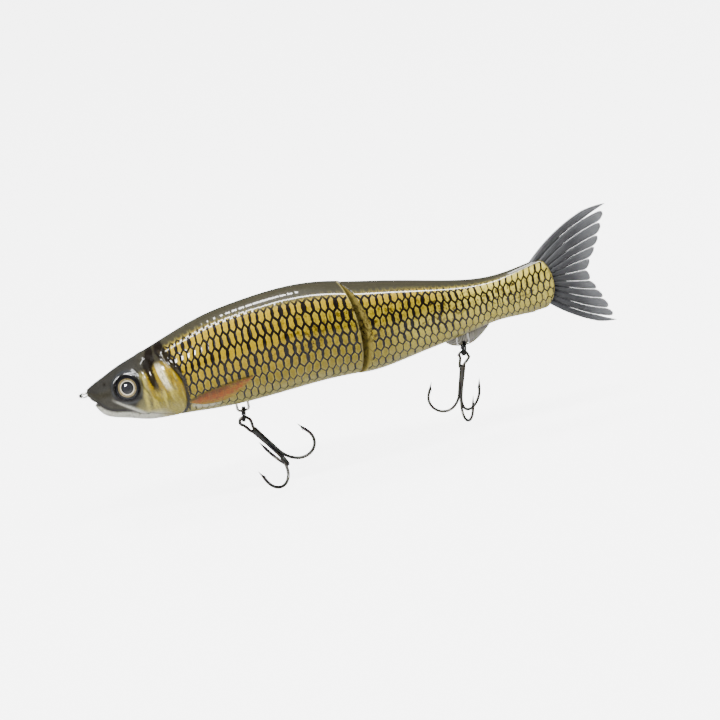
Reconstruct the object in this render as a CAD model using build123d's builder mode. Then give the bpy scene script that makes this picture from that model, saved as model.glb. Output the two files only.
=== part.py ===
"""Single-jointed hard swimbait: a two-section hollow lure with a soft tail and two treble hooks.

Millimetres. The origin is the centre of the line-tie ring at the nose, +X runs aft along the
body, +Z is up, and the body is symmetric about the XZ plane. The left side faces -Y.
"""
from build123d import *
import os
from math import cos, radians, sin, tan

os.makedirs("parts", exist_ok=True)

# ---------------------------------------------------------------- driving dimensions

WALL = 2.2                 # moulded shell thickness
MID = Plane.XZ             # parting plane of both shells; its normal points to the left side

# Stations of the outer form: x, top of the back, bottom of the belly, half width
FRONT_STATIONS = [
    (1.8, 2.4, -1.5, 1.7),      # snout tip
    (4.4, 3.9, -7.6, 3.7),      # chin starts
    (8.5, 5.8, -11.7, 5.8),     # chin
    (15.0, 8.9, -13.7, 8.0),    # front of the eye
    (24.0, 12.2, -16.3, 10.2),  # behind the eye
    (38.0, 17.3, -17.3, 12.2),  # gill cover
    (54.0, 22.8, -18.3, 13.3),  # shoulder
    (72.0, 26.2, -18.3, 13.9),
    (90.0, 27.8, -17.2, 14.1),  # deepest part of the back
    (106.0, 27.0, -16.5, 13.8),
    (122.0, 23.6, -17.0, 13.3),  # runs past the joint and is cut back to it
]
REAR_STATIONS = [
    (112.0, 25.6, -16.4, 13.6),  # starts ahead of the joint and is cut back to it
    (122.0, 23.5, -17.1, 13.3),
    (134.0, 21.1, -15.8, 12.3),
    (147.0, 18.2, -13.4, 10.8),
    (160.0, 15.2, -11.2, 9.1),
    (171.0, 13.2, -9.0, 7.6),
    (181.0, 12.7, -7.4, 6.4),   # waist ahead of the tail
    (191.0, 13.9, -7.4, 5.4),
    (199.0, 15.4, -7.0, 4.6),
    (208.0, 16.6, -6.0, 3.9),
]
REAR_END_X = 206.4         # furthest point of the rounded rear end
REAR_END_RADIUS = 18.0
REAR_END_Z = 4.4

# Body joint
PIVOT_X = 120.5
NOSE_RADIUS = 4.6          # rounded front of the rear section, about the pin
SOCKET_RADIUS = 5.3        # matching hollow in the front section
NOSE_ANGLE = 38.0          # bevel of the rear section from the cross plane
SOCKET_ANGLE = 20.0        # bevel of the front section from the cross plane
SIDE_REACH = 20.0          # half width of the cutting outlines, clear of the body
HALF_HEIGHT = 40.0         # half height of the cutting prisms, clear of the body
CUT_END_X = 240.0          # aft end of the cutting prisms, past the tail

PIN_RADIUS = 1.08
PIN_BOTTOM = -13.0
PIN_TOP = 20.0
PIN_CHAMFER = 0.3
UPPER_EYE_Z = 14.0
LOWER_EYE_Z = -6.0
JOINT_EYE_WIRE = 0.75      # wire radius of the joint screw eyes
JOINT_EYE_RING = 1.9       # ring radius to the wire centre
JOINT_EYE_LENGTH = 17.0    # ring centre to screw tip
SCREW_TIP_RADIUS = 0.1
SLOT_RADIUS = 3.1
SLOT_HEIGHT = 2.5

# Line tie
TIE_RING = 1.95
TIE_WIRE = 0.5
TIE_SHANK = 0.7
TIE_LENGTH = 17.0

# Hook hangers, split rings and trebles
HANGER_WIRE = 0.55
HANGER_HALF_WIDTH = 2.5
HANGER_CORNER = 1.3
HANGER_FOOT = 2.4
HANGER_BLOCK_WIDTH = 7.0   # solid block of the shells around the hanger's legs
HANGER_BLOCK_MARGIN = 1.0
FRONT_HANGER = (64.6, -22.6)   # x and z of the wire's lowest run
REAR_HANGER = (163.5, -15.0)
FRONT_HANGER_TOP = -9.0
REAR_HANGER_TOP = -3.5

RING_INNER = 2.65
RING_COIL = 0.375          # half thickness of the spring wire
RING_HALF_WIDTH = 0.75     # two coils side by side
RING_PLAY = 0.3            # gap between ring and hanger wire

EYE_PLAY = 0.8             # hook eye's inner top above the ring wire's centre
EYE_HALF_WIDTH = 2.05      # hook eye, to the wire centre
FRONT_RING_LEAN = 12.0     # toward the nose from straight down
REAR_RING_LEAN = 10.5
FRONT_TREBLE_LEAN = -33.3  # toward the nose; negative lies back toward the tail
REAR_TREBLE_LEAN = 13.4
FRONT_TREBLE = {"length": 34.3, "gape": 15.6, "wire": 0.67, "turn": -8.3,
                "braze_top": -6.2, "braze_bottom": -14.5}
REAR_TREBLE = {"length": 29.8, "gape": 13.2, "wire": 0.58, "turn": 162.4,
               "braze_top": -5.0, "braze_bottom": -12.9}
SHANK_SPREAD = 1.16        # shank centre from the treble's axis, by wire radius
POINT_REACH = 0.9          # the gape is measured to the point, this far inside the bend
BEND_TIGHTEN = 0.93
FIRST_TURN = 40.0          # the shank opens gently before the round bend
WHOLE_TURN = 188.0         # bend up to the slightly closed point
FIRST_RADIUS_RATIO = 1.6
POINT_LENGTH = 4.2
POINT_TIP_RADIUS = 0.08
THROAT_LENGTH = 1.8
BARB_HALF_WIDTH = 0.2
BARB_TIP = (-0.2, 1.9)     # along the point in mm, and out from it by wire radius
BARB_FOOT = (0.8, 2.6)     # start and end along the point
BARB_SINK = 0.3            # depth of the barb's foot in the wire, by wire radius
BRAZE_TOP_RADIUS = 2.3     # by wire radius
BRAZE_BOTTOM_RADIUS = 1.9

# Eyes
EYE_CENTRE = (18.7, -8.6, 2.25)
EYE_NORMAL = (-0.24, -0.92, 0.28)
EYE_FORWARD = (-0.97, 0.25, 0.0)   # roughly along the head, turned into the eye's plane
EYE_RADIUS = 5.0
EYE_BASE_THICKNESS = 1.0
EYE_DOME_HEIGHT = 1.5
EYE_DOME_RADIUS = 11.0
EYE_SOCKET_REACH = 6.0     # length of the socket's cutter, out past the head

# Mouth: an open wedge at the front, with a shallow groove back to its corner
MOUTH_DEPTH = 0.9
MOUTH_CORNER = (24.5, -11.2)
MOUTH_FRONT_X = 0.0
MOUTH_FRONT_TOP = -3.2
MOUTH_FRONT_BOTTOM = -4.8
MOUTH_OPENING = [(0.0, -1.4), (5.7, -3.6), (6.5, -5.2), (0.0, -6.1)]

# Ballast: x, z, radius, length
FRONT_BALLAST_FORE = (44.0, -10.6, 4.0, 18.0)
FRONT_BALLAST_AFT = (86.0, -10.2, 4.0, 20.0)
REAR_BALLAST = (143.0, -7.2, 3.2, 14.0)
BALLAST_CHAMFER = 0.5
CRADLE_SPREAD = 0.35       # ribs' distance from the slug's middle, by its length
CRADLE_THICKNESS = 2.0
CRADLE_HEIGHT = 2.4        # by the slug's radius

# Locating pegs between the shell halves: x and z
FRONT_PEGS = [(30.0, 6.0), (60.0, 16.0), (94.0, 20.0), (73.0, -12.0)]
REAR_PEGS = [(138.0, 14.0), (166.0, 8.0)]
PEG_RADIUS = 1.2
PEG_POST_RADIUS = 2.6
PEG_LENGTH = 3.0

# Fins
TAIL_TIP_TOP = (234.0, 34.0)
TAIL_FORK = (221.6, 4.2)
TAIL_TIP_BOTTOM = (231.8, -19.6)
TAIL_ROOT_TOP = (202.6, 15.2)
TAIL_ROOT_BOTTOM = (202.6, -5.6)
TAIL_BOW_TOP = (215.0, 24.0)        # points the tail's curved edges pass through
TAIL_BOW_FORK_TOP = (228.5, 18.0)
TAIL_BOW_FORK_BOTTOM = (227.0, -6.0)
TAIL_BOW_BOTTOM = (217.0, -14.5)
TAIL_THICKNESS = 1.8
TAIL_TAB_FRONT = 192.5
TAIL_TAB_TOP = 11.0
TAIL_TAB_BOTTOM = -3.0
ANAL_EDGE = [(154.5, -10.5), (156.6, -13.2), (161.0, -15.2), (166.5, -15.4), (171.5, -12.6),
             (176.0, -8.2)]
ANAL_ROOT = [(175.0, -6.4), (156.0, -9.2)]
ANAL_THICKNESS = 1.9
TAIL_PIN_X = 194.6
TAIL_PIN_RADIUS = 0.8
TAIL_PIN_TOP = 7.0
TAIL_PIN_BOTTOM = -7.3
TAIL_PIN_HEAD = (4.4, 1.8)
TAIL_PIN_HEAD_THICKNESS = 1.2
ANAL_NOTCH_RADIUS = 3.1
ANAL_NOTCH_RISE = 2.0      # round top of the notch's middle, above the hanger's lowest run
ANAL_NOTCH_HEIGHT = 6.0


# ---------------------------------------------------------------- helpers

def loft_body(stations, inset=0.0, mode=Mode.ADD):
    """Loft through elliptical body sections, pulled in by inset."""
    sections = []
    for x, top, bottom, half_width in stations:
        with BuildSketch(Plane.YZ.offset(x)) as section:
            with Locations((0, (top + bottom) / 2)):
                Ellipse(half_width - inset, (top - bottom) / 2 - inset)
        sections.append(section.sketch)
    loft(sections, mode=mode)


def bevel_sketch(radius, angle, aft_x):
    """Plan of everything behind a rounded V that is centred on the joint pin."""
    lean_x = radius * cos(radians(angle))
    lean_y = radius * sin(radians(angle))
    tangent_x = PIVOT_X - lean_x
    side_x = tangent_x + (SIDE_REACH - lean_y) * tan(radians(angle))
    with BuildSketch(Plane.XY.offset(-HALF_HEIGHT)) as plan:
        with BuildLine():
            ThreePointArc((tangent_x, -lean_y), (PIVOT_X - radius, 0), (tangent_x, lean_y))
            Polyline((tangent_x, lean_y), (side_x, SIDE_REACH), (aft_x, SIDE_REACH),
                     (aft_x, -SIDE_REACH), (side_x, -SIDE_REACH), (tangent_x, -lean_y))
        make_face()
    return plan.sketch


def sweep_wire(route, radius):
    """Add a round wire along a line."""
    with BuildSketch(Plane(origin=route @ 0, z_dir=route % 0)) as section:
        Circle(radius)
    sweep(section.sketch, path=route)


def hanger_staple(centre_x, low_z, top_z):
    """Add a hook hanger: a U of wire whose two feet turn outward inside the shell."""
    left = centre_x - HANGER_HALF_WIDTH
    right = centre_x + HANGER_HALF_WIDTH
    with BuildLine(Plane.XZ) as route:
        FilletPolyline(
            (left - HANGER_FOOT, top_z), (left, top_z), (left, low_z),
            (right, low_z), (right, top_z), (right + HANGER_FOOT, top_z),
            radius=HANGER_CORNER)
    sweep_wire(route.line, HANGER_WIRE)


def screw_eye(centre, ring, wire, shank_radius, length, toward_x):
    """Add a screw eye: a ring lying flat and a pointed shank along X."""
    with Locations(centre):
        Torus(ring, wire)
    start = Plane(origin=centre, z_dir=(toward_x, 0, 0)).offset(ring)
    point = 2 * shank_radius
    with BuildSketch(start) as shank:
        Circle(shank_radius)
    extrude(shank.sketch, amount=length - ring - point)
    with BuildSketch(start.offset(length - ring - point)) as tip_base:
        Circle(shank_radius)
    with BuildSketch(start.offset(length - ring)) as tip:
        Circle(SCREW_TIP_RADIUS)
    loft([tip_base.sketch, tip.sketch])


def split_ring(hinge, lean):
    """Add a two-coil split ring hanging from the hanger wire at hinge, leaning to the nose."""
    drop = RING_INNER - HANGER_WIRE - RING_PLAY
    down = Vector(-sin(radians(lean)), 0, -cos(radians(lean)))
    centre = Vector(hinge[0], 0, hinge[1]) + down * drop
    axle = Vector(cos(radians(lean)), 0, -sin(radians(lean)))
    with BuildSketch(Plane(origin=centre, x_dir=down, z_dir=axle.cross(down))) as section:
        with Locations((RING_INNER + RING_COIL, 0)):
            SlotOverall(2 * RING_HALF_WIDTH, 2 * RING_COIL, rotation=90)
    revolve(section.sketch, axis=Axis(centre, axle))


def treble_frame(hinge, ring_lean, treble_lean):
    """Frame of a treble: origin at the ring wire inside its eye, z up the shank."""
    drop = 2 * RING_INNER - HANGER_WIRE - RING_PLAY + RING_COIL
    low_x = hinge[0] - drop * sin(radians(ring_lean))
    low_z = hinge[1] - drop * cos(radians(ring_lean))
    lean = radians(treble_lean)
    return Plane(origin=(low_x, 0, low_z), x_dir=(cos(lean), 0, -sin(lean)),
                 z_dir=(sin(lean), 0, cos(lean)))


def hook_arm(frame, turn, size):
    """Add one arm: shank, gentle opening, round bend, tapered point and barb."""
    outward = frame.x_dir * cos(radians(turn)) + frame.y_dir * sin(radians(turn))
    plane = Plane(origin=frame.origin, x_dir=outward, z_dir=outward.cross(frame.z_dir))
    wire = size["wire"]
    start_r = SHANK_SPREAD * wire
    bottom = EYE_PLAY + 3 * wire - size["length"]
    bend_radius = (size["gape"] + POINT_REACH - start_r) / 2 * BEND_TIGHTEN
    first_radius = bend_radius * FIRST_RADIUS_RATIO
    opening = sin(radians(FIRST_TURN))
    bend_start = bottom + first_radius * opening + bend_radius * (1 - opening)
    with BuildLine(plane) as route:
        shank = Line((start_r, size["braze_top"]), (start_r, bend_start))
        first = JernArc(shank @ 1, shank % 1, first_radius, FIRST_TURN)
        bend = JernArc(first @ 1, first % 1, bend_radius, WHOLE_TURN - FIRST_TURN)
        throat = PolarLine(bend @ 1, THROAT_LENGTH, direction=bend % 1)
    sweep_wire(route.line, wire)
    end = Plane(origin=route.line @ 1, z_dir=route.line % 1)
    with BuildSketch(end) as point_base:
        Circle(wire)
    with BuildSketch(end.offset(POINT_LENGTH)) as point_tip:
        Circle(POINT_TIP_RADIUS)
    loft([point_base.sketch, point_tip.sketch])
    with BuildSketch(Plane(origin=end.origin, x_dir=end.z_dir, z_dir=plane.z_dir)) as barb:
        with BuildLine():
            Polyline((BARB_FOOT[1], BARB_SINK * wire), (BARB_TIP[0], BARB_TIP[1] * wire),
                     (BARB_FOOT[0], BARB_SINK * wire), (BARB_FOOT[1], BARB_SINK * wire))
        make_face()
    extrude(barb.sketch, amount=BARB_HALF_WIDTH, both=True)


def hook_eye(frame, size):
    """Add the teardrop eye in the vertical mid plane: a crown and two legs into the braze."""
    wire = size["wire"]
    top = EYE_PLAY + wire
    side_z = top - EYE_HALF_WIDTH
    plane = Plane(origin=frame.origin, x_dir=frame.x_dir, z_dir=-frame.y_dir)
    with BuildLine(plane) as crown:
        ThreePointArc((-EYE_HALF_WIDTH, side_z), (0, top), (EYE_HALF_WIDTH, side_z))
    sweep_wire(crown.line, wire)
    for side in (-1, 1):
        with BuildLine(plane) as leg:
            Spline((side * EYE_HALF_WIDTH, side_z), (side * wire, size["braze_top"] - 1),
                   tangents=[(0, -1), (0, -1)])
        sweep_wire(leg.line, wire)


def hook_braze(frame, size):
    """Add the brazed sleeve that joins the three shanks below the eye."""
    with BuildSketch(frame.offset(size["braze_top"])) as upper:
        Circle(BRAZE_TOP_RADIUS * size["wire"])
    with BuildSketch(frame.offset(size["braze_bottom"])) as lower:
        Circle(BRAZE_BOTTOM_RADIUS * size["wire"])
    loft([upper.sketch, lower.sketch])


def ballast_slug(x, z, radius, length):
    """Add a round ballast slug lying along X."""
    with BuildSketch(Plane.YZ.offset(x - length / 2)) as end:
        with Locations((0, z)):
            Circle(radius)
    extrude(end.sketch, amount=length)


def ballast_cradle(x, z, radius, length):
    """Leave two ribs in a hollow, across the ends of a ballast slug."""
    for end_x in (x - CRADLE_SPREAD * length, x + CRADLE_SPREAD * length):
        with Locations((end_x, 0, z - radius)):
            Box(CRADLE_THICKNESS, 2 * SIDE_REACH, CRADLE_HEIGHT * radius, mode=Mode.SUBTRACT)


def peg_post(x, z):
    """Leave a post in a hollow, across the parting plane, for a locating peg."""
    with BuildSketch(Plane.XZ.offset(-SIDE_REACH)) as post:
        with Locations((x, z)):
            Circle(PEG_POST_RADIUS)
    extrude(post.sketch, amount=2 * SIDE_REACH, mode=Mode.SUBTRACT)


def hanger_block(centre_x, low_z, top_z):
    """Leave a solid block in a hollow around a hook hanger's legs."""
    half_length = HANGER_HALF_WIDTH + HANGER_FOOT + 2 * HANGER_WIRE
    with Locations((centre_x, 0, (low_z + top_z) / 2 + HANGER_WIRE + HANGER_BLOCK_MARGIN)):
        Box(2 * half_length, HANGER_BLOCK_WIDTH, top_z - low_z + 2 * HANGER_BLOCK_MARGIN,
            mode=Mode.SUBTRACT)


# ---------------------------------------------------------------- wire and pin parts

with BuildPart() as line_tie:
    screw_eye((0, 0, 0), TIE_RING, TIE_WIRE, TIE_SHANK, TIE_LENGTH, 1)
line_tie.part.label = "line_tie"
export_step(line_tie.part, "parts/line_tie.step")

with BuildPart() as front_hook_hanger:
    hanger_staple(*FRONT_HANGER, FRONT_HANGER_TOP)
front_hook_hanger.part.label = "front_hook_hanger"
export_step(front_hook_hanger.part, "parts/front_hook_hanger.step")

with BuildPart() as rear_hook_hanger:
    hanger_staple(*REAR_HANGER, REAR_HANGER_TOP)
rear_hook_hanger.part.label = "rear_hook_hanger"
export_step(rear_hook_hanger.part, "parts/rear_hook_hanger.step")

with BuildPart() as upper_joint_eye:
    screw_eye((PIVOT_X, 0, UPPER_EYE_Z), JOINT_EYE_RING, JOINT_EYE_WIRE, JOINT_EYE_WIRE,
              JOINT_EYE_LENGTH, -1)
upper_joint_eye.part.label = "upper_joint_eye"
export_step(upper_joint_eye.part, "parts/upper_joint_eye.step")

with BuildPart() as lower_joint_eye:
    screw_eye((PIVOT_X, 0, LOWER_EYE_Z), JOINT_EYE_RING, JOINT_EYE_WIRE, JOINT_EYE_WIRE,
              JOINT_EYE_LENGTH, -1)
lower_joint_eye.part.label = "lower_joint_eye"
export_step(lower_joint_eye.part, "parts/lower_joint_eye.step")

with BuildPart() as joint_pin:
    with BuildSketch(Plane((PIVOT_X, 0, PIN_BOTTOM))):
        Circle(PIN_RADIUS)
    extrude(amount=PIN_TOP - PIN_BOTTOM)
    chamfer(joint_pin.edges().filter_by(GeomType.CIRCLE), length=PIN_CHAMFER)
joint_pin.part.label = "joint_pin"
export_step(joint_pin.part, "parts/joint_pin.step")

with BuildPart() as front_split_ring:
    split_ring(FRONT_HANGER, FRONT_RING_LEAN)
front_split_ring.part.label = "front_split_ring"
export_step(front_split_ring.part, "parts/front_split_ring.step")

with BuildPart() as rear_split_ring:
    split_ring(REAR_HANGER, REAR_RING_LEAN)
rear_split_ring.part.label = "rear_split_ring"
export_step(rear_split_ring.part, "parts/rear_split_ring.step")

# ---------------------------------------------------------------- treble hooks

front_frame = treble_frame(FRONT_HANGER, FRONT_RING_LEAN, FRONT_TREBLE_LEAN)
rear_frame = treble_frame(REAR_HANGER, REAR_RING_LEAN, REAR_TREBLE_LEAN)

with BuildPart() as front_single_hook:
    hook_arm(front_frame, FRONT_TREBLE["turn"] + 120, FRONT_TREBLE)
front_single_hook.part.label = "front_single_hook"
export_step(front_single_hook.part, "parts/front_single_hook.step")

with BuildPart() as front_double_hook:
    hook_eye(front_frame, FRONT_TREBLE)
    hook_braze(front_frame, FRONT_TREBLE)
    hook_arm(front_frame, FRONT_TREBLE["turn"], FRONT_TREBLE)
    hook_arm(front_frame, FRONT_TREBLE["turn"] - 120, FRONT_TREBLE)
    add(front_single_hook.part, mode=Mode.SUBTRACT)
front_double_hook.part.label = "front_double_hook"
export_step(front_double_hook.part, "parts/front_double_hook.step")

with BuildPart() as rear_single_hook:
    hook_arm(rear_frame, REAR_TREBLE["turn"] + 120, REAR_TREBLE)
rear_single_hook.part.label = "rear_single_hook"
export_step(rear_single_hook.part, "parts/rear_single_hook.step")

with BuildPart() as rear_double_hook:
    hook_eye(rear_frame, REAR_TREBLE)
    hook_braze(rear_frame, REAR_TREBLE)
    hook_arm(rear_frame, REAR_TREBLE["turn"], REAR_TREBLE)
    hook_arm(rear_frame, REAR_TREBLE["turn"] - 120, REAR_TREBLE)
    add(rear_single_hook.part, mode=Mode.SUBTRACT)
rear_double_hook.part.label = "rear_double_hook"
export_step(rear_double_hook.part, "parts/rear_double_hook.step")

# ---------------------------------------------------------------- eyes

left_eye_plane = Plane(origin=EYE_CENTRE, x_dir=EYE_FORWARD, z_dir=EYE_NORMAL)
with BuildPart() as eye_base_left:
    with BuildSketch(left_eye_plane):
        Circle(EYE_RADIUS)
    extrude(amount=-EYE_BASE_THICKNESS)
eye_base_left.part.label = "eye_base_left"
export_step(eye_base_left.part, "parts/eye_base_left.step")

with BuildPart() as eye_lens_left:
    with BuildSketch(left_eye_plane):
        Circle(EYE_RADIUS)
    extrude(amount=EYE_DOME_HEIGHT)
    with Locations(left_eye_plane.offset(EYE_DOME_HEIGHT - EYE_DOME_RADIUS)):
        Sphere(EYE_DOME_RADIUS, mode=Mode.INTERSECT)
eye_lens_left.part.label = "eye_lens_left"
export_step(eye_lens_left.part, "parts/eye_lens_left.step")

with BuildPart() as eye_base_right:
    mirror(eye_base_left.part, about=MID)
eye_base_right.part.label = "eye_base_right"
export_step(eye_base_right.part, "parts/eye_base_right.step")

with BuildPart() as eye_lens_right:
    mirror(eye_lens_left.part, about=MID)
eye_lens_right.part.label = "eye_lens_right"
export_step(eye_lens_right.part, "parts/eye_lens_right.step")

# ---------------------------------------------------------------- ballast

with BuildPart() as front_ballast_fore:
    ballast_slug(*FRONT_BALLAST_FORE)
    chamfer(front_ballast_fore.edges().filter_by(GeomType.CIRCLE), length=BALLAST_CHAMFER)
front_ballast_fore.part.label = "front_ballast_fore"
export_step(front_ballast_fore.part, "parts/front_ballast_fore.step")

with BuildPart() as front_ballast_aft:
    ballast_slug(*FRONT_BALLAST_AFT)
    chamfer(front_ballast_aft.edges().filter_by(GeomType.CIRCLE), length=BALLAST_CHAMFER)
front_ballast_aft.part.label = "front_ballast_aft"
export_step(front_ballast_aft.part, "parts/front_ballast_aft.step")

with BuildPart() as rear_ballast:
    ballast_slug(*REAR_BALLAST)
    chamfer(rear_ballast.edges().filter_by(GeomType.CIRCLE), length=BALLAST_CHAMFER)
rear_ballast.part.label = "rear_ballast"
export_step(rear_ballast.part, "parts/rear_ballast.step")

# ---------------------------------------------------------------- fins

with BuildPart() as tail_pin:
    with BuildSketch(Plane((TAIL_PIN_X, 0, TAIL_PIN_BOTTOM))):
        SlotOverall(*TAIL_PIN_HEAD)
    extrude(amount=TAIL_PIN_HEAD_THICKNESS)
    with BuildSketch(Plane((TAIL_PIN_X, 0, TAIL_PIN_BOTTOM))):
        Circle(TAIL_PIN_RADIUS)
    extrude(amount=TAIL_PIN_TOP - TAIL_PIN_BOTTOM)
tail_pin.part.label = "tail_pin"
export_step(tail_pin.part, "parts/tail_pin.step")

with BuildPart() as tail_fin:
    with BuildSketch(Plane.XZ) as fan:
        with BuildLine():
            Spline(TAIL_ROOT_TOP, TAIL_BOW_TOP, TAIL_TIP_TOP)
            Spline(TAIL_TIP_TOP, TAIL_BOW_FORK_TOP, TAIL_FORK)
            Spline(TAIL_FORK, TAIL_BOW_FORK_BOTTOM, TAIL_TIP_BOTTOM)
            Spline(TAIL_TIP_BOTTOM, TAIL_BOW_BOTTOM, TAIL_ROOT_BOTTOM)
            Line(TAIL_ROOT_BOTTOM, TAIL_ROOT_TOP)
        make_face()
    extrude(amount=TAIL_THICKNESS / 2, both=True)
    with BuildSketch(Plane.XZ) as tab:
        with BuildLine():
            Polyline((TAIL_TAB_FRONT, TAIL_TAB_BOTTOM), (TAIL_TAB_FRONT, TAIL_TAB_TOP),
                     TAIL_ROOT_TOP, (REAR_END_X, TAIL_ROOT_TOP[1]), (REAR_END_X, TAIL_ROOT_BOTTOM[1]),
                     TAIL_ROOT_BOTTOM, (TAIL_TAB_FRONT, TAIL_TAB_BOTTOM))
        make_face()
    extrude(amount=TAIL_THICKNESS / 2, both=True)
    add(tail_pin.part, mode=Mode.SUBTRACT)
tail_fin.part.label = "tail_fin"
export_step(tail_fin.part, "parts/tail_fin.step")

with BuildPart() as anal_fin:
    with BuildSketch(Plane.XZ):
        with BuildLine():
            Spline(*ANAL_EDGE)
            Polyline(ANAL_EDGE[-1], *ANAL_ROOT, ANAL_EDGE[0])
        make_face()
        with Locations((REAR_HANGER[0], REAR_HANGER[1] + ANAL_NOTCH_RISE)):
            Circle(ANAL_NOTCH_RADIUS, mode=Mode.SUBTRACT)
            with Locations((0, -ANAL_NOTCH_HEIGHT / 2)):
                Rectangle(2 * ANAL_NOTCH_RADIUS, ANAL_NOTCH_HEIGHT, mode=Mode.SUBTRACT)
    extrude(amount=ANAL_THICKNESS / 2, both=True)
    add(rear_hook_hanger.part, mode=Mode.SUBTRACT)
anal_fin.part.label = "anal_fin"
export_step(anal_fin.part, "parts/anal_fin.step")

# ---------------------------------------------------------------- front shells

with BuildPart() as front_form:
    loft_body(FRONT_STATIONS)
    extrude(bevel_sketch(SOCKET_RADIUS, SOCKET_ANGLE, CUT_END_X), amount=2 * HALF_HEIGHT,
            mode=Mode.SUBTRACT)

with BuildPart() as front_hollow:
    loft_body(FRONT_STATIONS[4:-1], inset=WALL)
    for x, z in FRONT_PEGS:
        peg_post(x, z)
    hanger_block(*FRONT_HANGER, FRONT_HANGER_TOP)
    ballast_cradle(*FRONT_BALLAST_FORE)
    ballast_cradle(*FRONT_BALLAST_AFT)

with BuildPart() as mouth_groove:
    with BuildSketch(Plane.XZ):
        with BuildLine():
            Polyline((MOUTH_FRONT_X, MOUTH_FRONT_TOP), MOUTH_CORNER,
                     (MOUTH_FRONT_X, MOUTH_FRONT_BOTTOM), (MOUTH_FRONT_X, MOUTH_FRONT_TOP))
        make_face()
    extrude(amount=SIDE_REACH, both=True)
    loft_body(FRONT_STATIONS[:6], inset=MOUTH_DEPTH, mode=Mode.SUBTRACT)
    with BuildSketch(Plane.XZ):
        with BuildLine():
            Polyline(*MOUTH_OPENING, MOUTH_OPENING[0])
        make_face()
    extrude(amount=SIDE_REACH, both=True)

with BuildPart() as eye_sockets:
    with BuildSketch(left_eye_plane.offset(-EYE_BASE_THICKNESS)):
        Circle(EYE_RADIUS)
    extrude(amount=EYE_SOCKET_REACH)
    mirror(about=MID)

with BuildPart() as front_body:
    add(front_form.part)
    for cut in (front_hollow, mouth_groove, eye_sockets, line_tie, front_hook_hanger,
                upper_joint_eye, lower_joint_eye, front_ballast_fore, front_ballast_aft):
        add(cut.part, mode=Mode.SUBTRACT)

with BuildPart() as front_shell_left:
    add(front_body.part)
    split(bisect_by=MID, keep=Keep.TOP)
    with BuildSketch(MID.offset(-PEG_LENGTH)):
        with Locations(*FRONT_PEGS):
            Circle(PEG_RADIUS)
    extrude(amount=PEG_LENGTH)
front_shell_left.part.label = "front_shell_left"
export_step(front_shell_left.part, "parts/front_shell_left.step")

with BuildPart() as front_shell_right:
    add(front_body.part)
    split(bisect_by=MID, keep=Keep.BOTTOM)
    with BuildSketch(MID.offset(-PEG_LENGTH)):
        with Locations(*FRONT_PEGS):
            Circle(PEG_RADIUS)
    extrude(amount=PEG_LENGTH, mode=Mode.SUBTRACT)
front_shell_right.part.label = "front_shell_right"
export_step(front_shell_right.part, "parts/front_shell_right.step")

# ---------------------------------------------------------------- rear shells

with BuildPart() as rear_form:
    loft_body(REAR_STATIONS)
    extrude(bevel_sketch(NOSE_RADIUS, NOSE_ANGLE, CUT_END_X), amount=2 * HALF_HEIGHT,
            mode=Mode.INTERSECT)
    with BuildSketch(Plane.XZ):
        with Locations((REAR_END_X - REAR_END_RADIUS, REAR_END_Z)):
            Circle(REAR_END_RADIUS)
        with Locations((REAR_END_X - REAR_END_RADIUS - 50, REAR_END_Z)):
            Rectangle(100, 2 * HALF_HEIGHT)
    extrude(amount=SIDE_REACH, both=True, mode=Mode.INTERSECT)

with BuildPart() as rear_hollow:
    loft_body(REAR_STATIONS[2:7], inset=WALL)
    for x, z in REAR_PEGS:
        peg_post(x, z)
    hanger_block(*REAR_HANGER, REAR_HANGER_TOP)
    ballast_cradle(*REAR_BALLAST)

with BuildPart() as joint_slots:
    for height in (UPPER_EYE_Z, LOWER_EYE_Z):
        with Locations((PIVOT_X, 0, height)):
            Cylinder(SLOT_RADIUS, SLOT_HEIGHT)
        with Locations((PIVOT_X - NOSE_RADIUS, 0, height)):
            Box(2 * NOSE_RADIUS, 2 * SLOT_RADIUS, SLOT_HEIGHT)

with BuildPart() as rear_body:
    add(rear_form.part)
    for cut in (rear_hollow, joint_slots, joint_pin, rear_hook_hanger, rear_ballast,
                anal_fin, tail_fin, tail_pin):
        add(cut.part, mode=Mode.SUBTRACT)

with BuildPart() as rear_shell_left:
    add(rear_body.part)
    split(bisect_by=MID, keep=Keep.TOP)
    with BuildSketch(MID.offset(-PEG_LENGTH)):
        with Locations(*REAR_PEGS):
            Circle(PEG_RADIUS)
    extrude(amount=PEG_LENGTH)
rear_shell_left.part.label = "rear_shell_left"
export_step(rear_shell_left.part, "parts/rear_shell_left.step")

with BuildPart() as rear_shell_right:
    add(rear_body.part)
    split(bisect_by=MID, keep=Keep.BOTTOM)
    with BuildSketch(MID.offset(-PEG_LENGTH)):
        with Locations(*REAR_PEGS):
            Circle(PEG_RADIUS)
    extrude(amount=PEG_LENGTH, mode=Mode.SUBTRACT)
rear_shell_right.part.label = "rear_shell_right"
export_step(rear_shell_right.part, "parts/rear_shell_right.step")
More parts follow.
